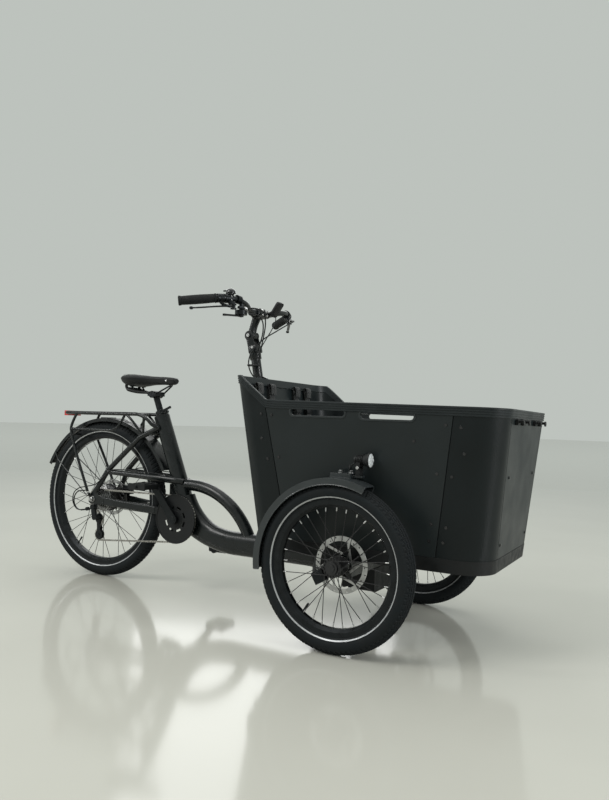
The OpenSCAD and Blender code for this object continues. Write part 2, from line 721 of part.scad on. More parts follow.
module front_calipers() color("#232426") place() for (side = sides) {
  rotor_y = side * track / 2 - side * 47;
  difference() {
    union() {
      translate([wheelbase, rotor_y, front_r]) rotate([90, 0, 0]) rotate([0, 0, 211])
        block([66, -20, -12], [42, 40, 24]);
      cross_cyl(front_axis - [78, 46], side * 327, side * 348, 30);
    }
    // rotor slot, and clearance to the caliper arm
    cross_cyl(front_axis, rotor_y - 2.6, rotor_y + 2.6, 186);
    cross_cyl(front_axis - [42, 20], side * 300, side * 326.5, 160);
  }
}

// ---------- handlebar ----------
// left half, from the clamp to the grip end
bar_points = [[776, 0, 1129], [776, 45, 1129], [795, 110, 1146], [792, 185, 1157],
  [762, 252, 1151.5], [651, 338, 1133]];
lever_pivot = [800, 204];        // left brake lever, x, y
lever_pin_d = 4;
shift_pivot = [806, -162];       // x, y
bell_pivot = [758.5, -192];      // x, y
module side_rod(from, to, side, d) rod(to_side(from, side), to_side(to, side), d);
module stem_head() color(black) place() difference() {
  union() {
    cross_cyl(hinge_axis, -17, 17, 34);
    bar([hinge_axis[0], 0, hinge_axis[1]], [772, 0, 1115]) square([30, 30], center = true);
    cross_cyl(clamp_axis, -24, 24, 46);
    translate([795, -20, 1112]) rotate([0, 20, 0]) cube([10, 40, 36]);
  }
  cross_cyl(hinge_axis, -20, 20, 10.04);
  cross_cyl(clamp_axis, -30, 30, 31.9);
}
module handlebar() color(black) place() {
  cross_cyl(clamp_axis, -46, 46, 31.8);
  for (side = sides) path(side_points(bar_points, side), 22.2);
}
module grips() color(rubber) place() for (side = sides) difference() {
  union() {
    side_rod([758, 255.1, 1150.8], bar_points[5], side, 32);
    side_rod([662, 329.5, 1134.8], [650, 338.8, 1132.8], side, 37);
  }
  side_rod([770, 245.8, 1152.8], [650.4, 338.5, 1132.9], side, 23);
}
module lever_bracket(side) {
  pivot = [lever_pivot[0], side * lever_pivot[1]];
  difference() {
    union() {
      side_rod([787, 196, 1156.1], [773, 227.3, 1153.5], side, 34);
      side_rod([781, 210, 1152], [800, 204, 1126], side, 22);
      translate([pivot[0], pivot[1], 1115]) cylinder(h = 20, d = 22);
      side_rod([806, 200, 1126], [828, 168, 1122], side, 11);
    }
    side_rod(bar_points[3], bar_points[4], side, 22.4);
    ball(to_side(bar_points[3], side), 22.5);
    // lever slot
    translate([pivot[0], pivot[1], 1117]) block([-15, -15, 3.4], [32, 30, 10.4]);
  }
  translate([pivot[0], pivot[1], 1116]) cylinder(h = 18, d = lever_pin_d);
}
module lever_brackets() color("#1f2022") place() {
  for (side = sides) lever_bracket(side);
  translate([shift_pivot[0], shift_pivot[1], 1091]) cylinder(h = 11, d = 5);
  // gear pod below the right side of the bar
  difference() {
    union() {
      rod([797, -160, 1156], [793, -178, 1158], 33);
      translate([804, -158, 1102]) cylinder(h = 40, d = 18);
      translate([shift_pivot[0], shift_pivot[1], 1100]) cylinder(h = 17, d = 46);
    }
    rod([795, -110, 1146], [792, -185, 1157], 22.5);
  }
}
// right-hand lever
module brake_lever() translate([lever_pivot[0], -lever_pivot[1], 0]) difference() {
  union() {
    translate([0, 0, 1122.4]) cylinder(h = 7.2, d = 15);
    translate([0, 0, 1126]) rotate([0, 0, -122.7]) rotate([0, 7.6, 0])
      translate([0, 0, -3.4]) linear_extrude(6.8)
        polygon([[1, -6], [40, -9], [95, -8], [150, -4], [164, -8], [170, -3], [170, 4],
          [164, 8], [152, 6], [95, 2], [40, 2], [1, 6]]);
  }
  translate([0, 0, 1110]) cylinder(h = 30, d = lever_pin_d + 0.12);
}
module brake_lever_right() color("#232426") place() brake_lever();
module brake_lever_left() color("#232426") place() mirror([0, 1, 0]) brake_lever();
module shift_lever() color("#2a2b2d") place() difference() {
  union() {
    translate([shift_pivot[0], shift_pivot[1], 1093]) cylinder(h = 6.6, d = 20);
    bar([800, -170, 1096.3], [766, -206, 1096.3]) square([6, 12], center = true);
    translate([764, -208, 1092.6]) cylinder(h = 7, d = 15);
  }
  translate([shift_pivot[0], shift_pivot[1], 1080]) cylinder(h = 30, d = 5.1);
}
module bell() color("#101113") place() {
  // dome
  intersection() {
    translate([783, -200, 1178]) sphere(r = 17);
    block([760, -225, 1178], [50, 50, 30]);
  }
  translate([783, -200, 1173.6]) cylinder(h = 5, d = 18);
  // arm and striker post
  block([755, -198, 1174.6], [24, 12, 3]);
  translate([bell_pivot[0], bell_pivot[1], 1175.6]) cylinder(h = 17, d = 3);
}
module bell_striker() color("#17181a") place()
  translate([bell_pivot[0], bell_pivot[1], 1178]) difference() {
    union() {
      cylinder(h = 13, d = 7);
      block([-14, -3.5, 8], [14, 7, 5]);
    }
    translate([0, 0, -1]) cylinder(h = 20, d = 3.1);
  }
module display() color("#222326") place() {
  translate([828, 56, 1152]) rotate([0, 34, 0]) block([-7, -30, -35], [13, 60, 70]);
  // clamp, cut to clear the bar
  difference() {
    union() {
      cross_cyl([779, 1133], 48, 60, 32);
      rod([790, 54, 1136], [820, 54, 1145], 12);
    }
    rod(bar_points[1], bar_points[2], 23.2);
    ball(bar_points[1], 23.2);
    cross_cyl(clamp_axis, 30, 46.2, 32.2);
  }
}
cable_paths = [
  [[829, -166, 1122], [852, -120, 1106], [852, -60, 1076], [828, -16, 1030], [812, -8, 1000]],
  [[829, 166, 1122], [850, 120, 1092], [846, 60, 1050], [826, 16, 1022], [812, 6, 996]],
  [[830.5, -146, 1105], [846, -96, 1078], [838, -40, 1034], [818, -20, 996]]];
module control_cables() color("#0d0d0e") place() for (points = cable_paths) path(points, 5);

main_frame();
seat_collar();
seat_lever();
seatpost();
saddle_rails();
saddle();
rear_rack();
tail_light();
rear_fender();
chain();
derailleur();
rear_axle();
rear_caliper();
crankset();
chainring();
chain_guard();
pedal_right();
pedal_left();
rear_hub();
rear_rim();
rear_tyre();
rear_spokes();
cassette();
subframe();
box_side_panels();
box_end_panels();
corner_panels();
box_floor();
rim_trim();
base_trim();
bench();
seat_cushion();
harness();
front_fenders();
headlights();
headlight_lenses();
tie_hooks();
rivets();
battery_case();
steering_column();
front_calipers();
front_right_hub();
front_right_rim();
front_right_tyre();
front_right_spokes();
front_left_hub();
front_left_rim();
front_left_tyre();
front_left_spokes();
stem_head();
handlebar();
grips();
lever_brackets();
brake_lever_right();
brake_lever_left();
shift_lever();
bell();
bell_striker();
display();
control_cables();
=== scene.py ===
"""Cargo tricycle: a box between two front wheels, a single driven wheel behind.

Design points are in millimetres: +x forward from the rear axle, +y to the left, +z up from
the floor. point() carries them into the shared frame, which is in metres. A side of -1 is
the right of the machine and 1 its left.
"""
import math
import random
from functools import lru_cache

import bpy
import bmesh
import numpy as np
from mathutils import Vector, Matrix

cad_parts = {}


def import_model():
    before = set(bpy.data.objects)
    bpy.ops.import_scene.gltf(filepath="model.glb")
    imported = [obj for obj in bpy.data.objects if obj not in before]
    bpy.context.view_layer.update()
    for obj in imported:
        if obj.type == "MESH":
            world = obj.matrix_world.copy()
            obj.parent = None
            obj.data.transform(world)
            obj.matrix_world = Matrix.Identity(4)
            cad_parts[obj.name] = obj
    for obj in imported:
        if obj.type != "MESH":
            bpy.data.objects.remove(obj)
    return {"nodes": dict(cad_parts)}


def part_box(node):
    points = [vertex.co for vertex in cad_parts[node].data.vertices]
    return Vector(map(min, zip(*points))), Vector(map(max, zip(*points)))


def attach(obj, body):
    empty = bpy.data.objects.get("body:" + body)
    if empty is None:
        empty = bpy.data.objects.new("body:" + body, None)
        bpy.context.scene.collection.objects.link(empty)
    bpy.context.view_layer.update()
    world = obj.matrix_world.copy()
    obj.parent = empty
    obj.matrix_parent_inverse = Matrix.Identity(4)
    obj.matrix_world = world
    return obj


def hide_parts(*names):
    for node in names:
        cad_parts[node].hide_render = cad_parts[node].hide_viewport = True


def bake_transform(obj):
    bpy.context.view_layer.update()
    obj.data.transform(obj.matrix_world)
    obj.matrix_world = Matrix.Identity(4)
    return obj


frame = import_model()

random.seed(7)  # keeps any random draw repeatable


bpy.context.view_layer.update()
NODES = frame["nodes"]
REAR_TYRE_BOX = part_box("rear_tyre")
REAR_AXLE_X = (REAR_TYRE_BOX[0][0] + REAR_TYRE_BOX[1][0]) / 2.0  # metres, shared frame

SIDES = ((-1, "right"), (1, "left"))


def point(x, y, z):
    """A design point (mm) in the shared frame (m)."""
    return Vector((x / 1000.0 + REAR_AXLE_X, y / 1000.0, z / 1000.0))


def place(spot, side=1):
    """A design tuple, mirrored for side -1, in the shared frame; a Vector is there already."""
    if isinstance(spot, Vector):
        return spot
    return point(spot[0], side * spot[1], spot[2])


# ------------------------------------------------------------------ driving dimensions (mm)
REAR_RADIUS = 340.0     # a wheel's axle stands one tyre radius above the floor
FRONT_RADIUS = 264.0
FRONT_AXLE_X = 1341
HALF_TRACK = 382        # front wheel centre planes
REAR_AXLE = point(0, 0, REAR_RADIUS)
FRONT_AXLE = point(FRONT_AXLE_X, 0, FRONT_RADIUS)

BOX_BASE_Z = 277
WALL_FLARE = 0.1        # sideways lean of the side walls per unit of height
REAR_CORNER = 70        # plan radii of the box corners
FRONT_CORNER = 95
# Top edge of the box seen from the side: x, z
BOX_TOP = [(800, 866), (928, 862), (1030, 780), (1070, 778), (1900, 766)]

STEM_HINGE = (751, 0, 1042)
BAR_CLAMP = (776, 0, 1129)
COLUMN_LEAN = 0.2       # rearward lean of the column per unit of height


def half_width(z):
    return 273 + (z - BOX_BASE_Z) * WALL_FLARE


def front_x(z):
    return 1784 + (z - BOX_BASE_Z) * 0.104


def rear_x(z):
    return 965 - (z - BOX_BASE_Z) * 0.13


def column_x(z):
    return 787 + (883 - z) * COLUMN_LEAN


# ------------------------------------------------------------------ materials
class Shader:
    """A node material under construction; most helpers return an output socket."""

    def __init__(self, name):
        self.material = bpy.data.materials.new(name)
        self.material.use_nodes = True
        self.tree = self.material.node_tree
        self.tree.nodes.clear()
        output = self.node("OutputMaterial")
        self.surface = self.node("BsdfPrincipled")
        self.tree.links.new(self.surface.outputs[0], output.inputs[0])
        self.coords = self.node("TexCoord").outputs["Object"]

    def feed(self, node, inputs):
        """Link each socket and set each plain value."""
        for key, value in inputs.items():
            if isinstance(value, bpy.types.NodeSocket):
                self.tree.links.new(value, node.inputs[key])
            else:
                node.inputs[key].default_value = value

    def node(self, kind, inputs=None, **settings):
        node = self.tree.nodes.new("ShaderNode" + kind)
        for key, value in settings.items():
            setattr(node, key, value)
        self.feed(node, inputs or {})
        return node

    def noise(self, scale, detail=2):
        inputs = {"Scale": scale, "Detail": detail, "Vector": self.coords}
        return self.node("TexNoise", inputs).outputs["Fac"]

    def math(self, operation, *values):
        return self.node("Math", dict(enumerate(values)), operation=operation).outputs[0]

    def vector(self, operation, *values):
        return self.node("VectorMath", dict(enumerate(values)), operation=operation).outputs

    def mix(self, factor, first, second, blend="MIX"):
        inputs = {0: factor, 1: first, 2: second}
        return self.node("MixRGB", inputs, blend_type=blend).outputs[0]

    def remap(self, value, low=0, high=1, to_low=0, to_high=1):
        inputs = {0: value, 1: low, 2: high, 3: to_low, 4: to_high}
        return self.node("MapRange", inputs).outputs[0]

    def ramp(self, factor, low, high, stops=(0, 1)):
        node = self.node("ValToRGB", {"Fac": factor})
        for element, color, stop in zip(node.color_ramp.elements, (low, high), stops):
            element.position = stop
            element.color = (*color, 1)
        return node.outputs["Color"]

    def bevel(self, radius):
        return self.node("Bevel", {"Radius": radius}, samples=4).outputs[0]

    def axis_distance(self, centre):
        """Distance (m) from the line along y through centre."""
        offset = self.vector("SUBTRACT", self.coords, centre)[0]
        return self.vector("LENGTH", self.vector("MULTIPLY", offset, (1, 0, 1))[0])["Value"]

    def done(self, inputs):
        self.feed(self.surface, inputs)
        return self.material


def material(name, base, rough=0.5, metallic=0.0, vary=0.25, scale=60.0, fine=900.0,
             bump=0.15, depth=0.0004, rough_vary=0.12, edge=0.0, edge_color=None, coat=0.0,
             bevel=0.0012, weave=None, sheen=0.0, spec=0.3, dust=0.0, aniso=0.0, extra=None):
    """Mottled surface with fine bumps; bevel and depth are in metres.

    scale and fine are the two noise scales, edge lightens worn edges, dust greys faces that
    look up, weave is the thread scale of cloth and extra holds more Principled inputs.
    """
    if max(base) < 0.05:  # near-blacks lean slightly cool
        base = (base[0] * 0.86, base[1], base[2] * 1.03)
    shader = Shader(name)
    mottle = shader.noise(scale, detail=6)
    if not weave:
        height = shader.noise(fine, detail=3)
    color = shader.ramp(mottle, [c * (1 - vary) for c in base],
                        [min(1, c * (1 + vary)) for c in base], stops=(0.3, 0.7))
    if bevel:
        rounded = shader.bevel(bevel)
    if edge:
        edge_color = edge_color or [min(1, c * 3 + 0.05) for c in base]
        normal = shader.node("NewGeometry").outputs["Normal"]
        facing = shader.vector("DOT_PRODUCT", rounded, normal)["Value"]
        wear = shader.math("MULTIPLY", shader.remap(facing, 0.99, 0.8, 0, edge), mottle)
        color = shader.mix(wear, color, (*edge_color, 1))
    if dust:
        normal = shader.node("NewGeometry").outputs["Normal"]
        upward = shader.node("SeparateXYZ", {0: normal}).outputs["Z"]
        cover = shader.math("MULTIPLY", shader.remap(upward, 0.2, 1.0, 0, dust), mottle)
        color = shader.mix(cover, color, (0.30, 0.28, 0.25, 1))
    if weave:
        waves = [shader.node("TexWave", {"Scale": weave, "Vector": shader.coords},
                             bands_direction=axis).outputs["Fac"] for axis in "XZY"]
        height = shader.math("ADD", shader.math("MULTIPLY", waves[0], waves[1]), waves[2])
        color = shader.mix(0.4, color, height, blend="MULTIPLY")
    inputs = {
        "Base Color": color,
        "Roughness": shader.remap(mottle, 0.3, 0.7, max(0.02, rough - rough_vary),
                                  min(1, rough + rough_vary)),
        "Metallic": metallic,
        "Specular IOR Level": spec,
        "Anisotropic": aniso}
    if coat:
        inputs.update({"Coat Weight": coat, "Coat Roughness": 0.12})
    if sheen:
        inputs.update({"Sheen Weight": sheen, "Sheen Roughness": 0.5})
    relief = {"Strength": bump, "Distance": depth, "Height": height}
    if bevel:
        relief["Normal"] = rounded
    inputs["Normal"] = shader.node("Bump", relief).outputs[0]
    return shader.done({**inputs, **(extra or {})})


MATERIALS = {
    "frame": material(
        "frame_paint", base=(0.0048, 0.0062, 0.0066), spec=0.36, rough=0.30, vary=0.2,
        scale=30, fine=1500, bump=0.06, coat=0.12, edge=0.35,
        edge_color=(0.035, 0.035, 0.037), bevel=0.002),
    "panel": material(
        "box_panel_skin", base=(0.0096, 0.0126, 0.0134), spec=0.34, rough=0.42, vary=0.10,
        scale=9, fine=2200, bump=0.22, depth=0.00025, rough_vary=0.07, edge=0.4,
        edge_color=(0.05, 0.05, 0.053), dust=0.03),
    # darker copy of the box panel skin: painted shade on the rounded box corners
    "corner": material(
        "box_corner_skin", base=(0.0068, 0.0088, 0.0094), spec=0.22, rough=0.36, vary=0.10,
        scale=9, fine=2200, bump=0.22, depth=0.00025, rough_vary=0.07, edge=0.4,
        edge_color=(0.04, 0.04, 0.043), dust=0.03),
    "trim": material(
        "trim_extrusion", base=(0.0165, 0.0185, 0.0195), rough=0.4, vary=0.12, scale=16,
        fine=1800, bump=0.12, rough_vary=0.08, dust=0.04, bevel=0),
    "plastic": material(
        "black_plastic", base=(0.008, 0.008, 0.0086), vary=0.2, scale=40, fine=1700,
        bump=0.3, depth=0.0002, edge=0.3, bevel=0.001, dust=0.06),
    "gloss": material(
        "gloss_black", base=(0.010, 0.010, 0.011), rough=0.18, vary=0.15, scale=30,
        bump=0.03, coat=0.6, rough_vary=0.05, bevel=0.0008),
    "fender": material(
        "fender_satin", base=(0.021, 0.0232, 0.0248), spec=0.5, rough=0.36, vary=0.12,
        scale=18, fine=1500, bump=0.06, coat=0.3, edge=0.3, edge_color=(0.09, 0.09, 0.095),
        dust=0.06, bevel=0.0015),
    "rubber": material(
        "tyre_rubber", base=(0.0052, 0.0070, 0.0082), rough=0.78, vary=0.35, scale=45,
        fine=700, bump=0.5, rough_vary=0.1, dust=0.05, bevel=0),
    "stripe": material(
        "reflective_stripe", base=(0.42, 0.43, 0.44), rough=0.32, metallic=0.3, vary=0.1,
        scale=80, fine=3000, bump=0.25, bevel=0),
    "grip": material(
        "grip_rubber", base=(0.009, 0.009, 0.009), rough=0.72, scale=70, fine=1200,
        bump=0.6, depth=0.0005, bevel=0),
    "steel": material(
        "bright_steel", base=(0.55, 0.55, 0.55), rough=0.28, metallic=1.0, vary=0.12,
        fine=2500, bump=0.08, edge=0.2, bevel=0.0006),
    "rotor": material(
        "rotor_steel", base=(0.60, 0.60, 0.59), rough=0.3, metallic=1.0, vary=0.15,
        scale=40, fine=1500, bump=0.1, bevel=0.0003, aniso=0.4),
    "alloy": material(
        "dark_alloy", base=(0.016, 0.016, 0.017), rough=0.34, metallic=0.55, vary=0.2,
        scale=40, fine=1600, bump=0.1, edge=0.6, edge_color=(0.14, 0.14, 0.14),
        bevel=0.001),
    "chain": material(
        "chain_steel", base=(0.34, 0.33, 0.31), rough=0.34, metallic=1.0, vary=0.3,
        scale=160, fine=2500, bump=0.1, bevel=0),
    "leather": material(
        "saddle_cover", base=(0.0090, 0.0090, 0.0095), rough=0.58, fine=650, bump=0.7,
        depth=0.0006, sheen=0.1, bevel=0),
    "cushion": material(
        "cushion_cover", base=(0.011, 0.011, 0.012), rough=0.62, vary=0.2, scale=40,
        fine=520, bump=0.7, depth=0.0006, sheen=0.15, bevel=0),
    "web": material(
        "webbing", base=(0.008, 0.008, 0.0086), rough=0.8, vary=0.2, bump=0.8,
        depth=0.0005, weave=280.0, sheen=0.3, bevel=0),
    "thread": material(
        "thread", base=(0.05, 0.05, 0.052), rough=0.8, vary=0.2, scale=300, fine=2500,
        bump=0.4, bevel=0),
    "cable": material(
        "cable_jacket", base=(0.011, 0.011, 0.011), rough=0.42, vary=0.2, scale=80,
        fine=1500, bump=0.12, bevel=0),
    "bezel": material(
        "slot_bezel", base=(0.028, 0.029, 0.030), vary=0.1, scale=40, fine=1500,
        dust=0.05, bevel=0.0008),
    "mat": material(
        "floor_mat", base=(0.012, 0.012, 0.0125), rough=0.7, scale=25, fine=420, bump=0.8,
        depth=0.0008, bevel=0.001, dust=0.2),
    "rivet": material(
        "rivet_black", base=(0.048, 0.048, 0.050), rough=0.24, metallic=0.7, vary=0.15,
        scale=90, fine=2000, bump=0.1, bevel=0.0004),
    # the faint emission paints a red glow, also on the harness buckle buttons, which are no
    # lamp
    "red": material(
        "red_lens", base=(0.42, 0.012, 0.012), rough=0.15, scale=50, fine=400, bump=0.3,
        coat=0.7, bevel=0.001,
        extra={"Emission Color": (1, 0.05, 0.03, 1), "Emission Strength": 0.06}),
    "lens": material(
        "clear_lens", base=(0.86, 0.9, 0.94), rough=0.1, vary=0.12, scale=160, fine=600,
        bump=0.4, coat=1.0, bevel=0, metallic=0.25),
}

# Which loaded pieces take each material
CAD_FINISHES = {
    "frame": "main_frame seat_collar rear_rack rear_fender subframe steering_column stem_head",
    "alloy": "seat_lever seatpost saddle_rails derailleur rear_caliper crankset chainring "
             "rear_rim front_calipers front_right_rim front_left_rim lever_brackets",
    "plastic": "chain_guard pedal_right pedal_left base_trim headlights tie_hooks "
               "battery_case shift_lever",
    "steel": "rear_axle cassette",
    "panel": "box_side_panels box_end_panels bench",
    "corner": "corner_panels",
    "mat": "box_floor",
    "fender": "front_fenders",
    "red": "tail_light",
    "lens": "headlight_lenses",
    "rivet": "rivets",
    "gloss": "bell bell_striker",
}


def hub_material(name, centre, rotor_low, rotor_high, rotor_radius):
    """Dark hub shell; bright between two y values (m) and beyond a radius (m), the rotor."""
    shader = Shader(name)
    y = shader.node("SeparateXYZ", {0: shader.coords}).outputs["Y"]
    in_band = shader.math("MULTIPLY", shader.math("GREATER_THAN", y, rotor_low),
                          shader.math("LESS_THAN", y, rotor_high))
    radius = shader.axis_distance(centre)
    on_rotor = shader.math("MULTIPLY", in_band,
                           shader.math("GREATER_THAN", radius, rotor_radius))
    mottle = shader.noise(120, detail=5)
    rings = shader.math("SINE", shader.math("MULTIPLY", radius, 9000))  # turned grooves
    shell = shader.ramp(mottle, (0.020, 0.020, 0.021), (0.04, 0.04, 0.042))
    rotor = shader.ramp(mottle, (0.36, 0.36, 0.36), (0.58, 0.58, 0.58))
    relief = {"Strength": 0.06, "Distance": 0.0002, "Height": rings,
              "Normal": shader.bevel(0.0008)}
    return shader.done({
        "Base Color": shader.mix(on_rotor, shell, rotor),
        "Metallic": shader.remap(on_rotor, to_low=0.5),
        "Roughness": 0.3,
        "Normal": shader.node("Bump", relief).outputs[0]})


def spoke_material(name, centre, nipple_radius):
    """Black spokes with bright nipples beyond nipple_radius (m) from the wheel's axis."""
    base = (0.02, 0.02, 0.021)
    shader = Shader(name)
    on_nipple = shader.math("GREATER_THAN", shader.axis_distance(centre), nipple_radius)
    mottle = shader.noise(300)
    black = shader.ramp(mottle, [c * 0.7 for c in base], [c * 1.5 for c in base])
    return shader.done({
        "Base Color": shader.mix(on_nipple, black, (0.6, 0.6, 0.6, 1)),
        "Metallic": shader.remap(on_nipple, to_low=0.35),
        "Roughness": shader.remap(mottle, to_low=0.26, to_high=0.4)})


def finish(node, surface):
    for slot in NODES[node].material_slots:
        slot.material = surface


def finish_cad():
    for key, names in CAD_FINISHES.items():
        for name in names.split():
            if name in NODES:
                finish(name, MATERIALS[key])
    # piece, material, axle, rotor y from and to (m), rotor inner radius (m)
    for node, name, axle, low, high, radius in (
            ("front_right_hub", "hub_fr", FRONT_AXLE, -0.3365, -0.3335, 0.0265),
            ("front_left_hub", "hub_fl", FRONT_AXLE, 0.3335, 0.3365, 0.0265),
            ("rear_hub", "hub_r", REAR_AXLE, 0.0497, 0.0525, 0.0245)):
        finish(node, hub_material(name, axle, low, high, radius))
    for node, name, axle, radius in (
            ("front_right_spokes", "spk_fr", FRONT_AXLE, 0.1715),
            ("front_left_spokes", "spk_fl", FRONT_AXLE, 0.1715),
            ("rear_spokes", "spk_r", REAR_AXLE, 0.2505)):
        finish(node, spoke_material(name, axle, radius))


# ------------------------------------------------------------------ mesh tools
def link(thing):
    bpy.context.scene.collection.objects.link(thing)
    return thing


def mesh(name, vertices, faces, materials, face_materials=None, body=None, slot=None,
         node=None, sharp=35):
    """Mesh object with smooth faces, sharp where they meet at more than sharp degrees.
    """
    data = bpy.data.meshes.new(name)
    data.from_pydata([tuple(v) for v in vertices], [], faces)
    data.validate()
    for key in ((materials,) if isinstance(materials, str) else materials):
        data.materials.append(MATERIALS[key])
    if face_materials is not None and len(face_materials) == len(data.polygons):
        data.polygons.foreach_set("material_index", face_materials)
    work = bmesh.new()
    work.from_mesh(data)
    bmesh.ops.remove_doubles(work, verts=work.verts, dist=1e-6)
    bmesh.ops.recalc_face_normals(work, faces=work.faces)
    for face in work.faces:
        face.smooth = True
    limit = math.radians(sharp)
    for edge in work.edges:
        if len(edge.link_faces) == 2:
            edge.smooth = edge.calc_face_angle(0.0) < limit
    work.to_mesh(data)
    work.free()
    data.update()
    made = link(bpy.data.objects.new(name, data))
    if body:
        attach(made, body)
    if node:
        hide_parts(node)
    return made


def smooth_path(path, steps=8, closed=False):
    """Centripetal Catmull-Rom curve through the path, with steps pieces per span."""
    path = [place(spot) for spot in path]
    count = len(path)
    curve = []
    for i in range(count if closed else count - 1):
        here = path[i]
        there = path[(i + 1) % count]
        if closed:
            before = path[i - 1]
            after = path[(i + 2) % count]
        else:
            before = path[i - 1] if i > 0 else here * 2 - there
            after = path[i + 2] if i + 2 < count else there * 2 - here
        gap_in = max((here - before).length, 1e-6) ** 0.5
        gap = max((there - here).length, 1e-6) ** 0.5
        gap_out = max((after - there).length, 1e-6) ** 0.5
        slope_here = ((here - before) / gap_in - (there - before) / (gap_in + gap)
                      + (there - here) / gap) * gap
        slope_there = ((there - here) / gap - (after - here) / (gap + gap_out)
                       + (after - there) / gap_out) * gap
        for j in range(steps):
            t = j / steps
            curve.append(here * (2 * t ** 3 - 3 * t ** 2 + 1)
                         + slope_here * (t ** 3 - 2 * t ** 2 + t)
                         + there * (-2 * t ** 3 + 3 * t ** 2)
                         + slope_there * (t ** 3 - t ** 2))
    if not closed:
        curve.append(path[-1].copy())
    return curve


def tangents(path, closed=False):
    count = len(path)
    result = []
    for i in range(count):
        before = path[i - 1] if (i > 0 or closed) else path[0]
        after = path[(i + 1) % count] if (i < count - 1 or closed) else path[-1]
        result.append((after - before).normalized())
    return result


def untwisted_normals(directions):
    """One vector square to each direction, carried along with the least twist."""
    normal = Vector((0, 0, 1)).cross(directions[0])
    if normal.length < 1e-4:
        normal = Vector((0, 1, 0)).cross(directions[0])
    normal.normalize()
    normals = [normal]
    for last, direction in zip(directions, directions[1:]):
        axis = last.cross(direction)
        normal = normals[-1].copy()
        if axis.length > 1e-9:
            normal = Matrix.Rotation(last.angle(direction), 3, axis.normalized()) @ normal
        normals.append((normal - direction * normal.dot(direction)).normalized())
    return normals


def ring_faces(rings, size, loop=False, open_ring=False):
    """Quads between successive rings of points; loop joins the last ring to the first."""
    return [(i * size + k, i * size + (k + 1) % size,
             (i + 1) % rings * size + (k + 1) % size, (i + 1) % rings * size + k)
            for i in range(rings if loop else rings - 1)
            for k in range(size - 1 if open_ring else size)]


def end_caps(rings, size):
    return [tuple(range(size))[::-1], tuple((rings - 1) * size + k for k in range(size))]


def arc(centre_u, centre_v, radius, start, turn, steps):
    """Points (u, v) along an arc; start and turn in degrees."""
    angles = [math.radians(start + turn * k / steps) for k in range(steps + 1)]
    return [(centre_u + radius * math.cos(a), centre_v + radius * math.sin(a))
            for a in angles]


def about_y(degrees):
    return Matrix.Rotation(math.radians(degrees), 3, "Y")


POLE_RADIUS = 0.01  # mm, stands in for a radius of zero


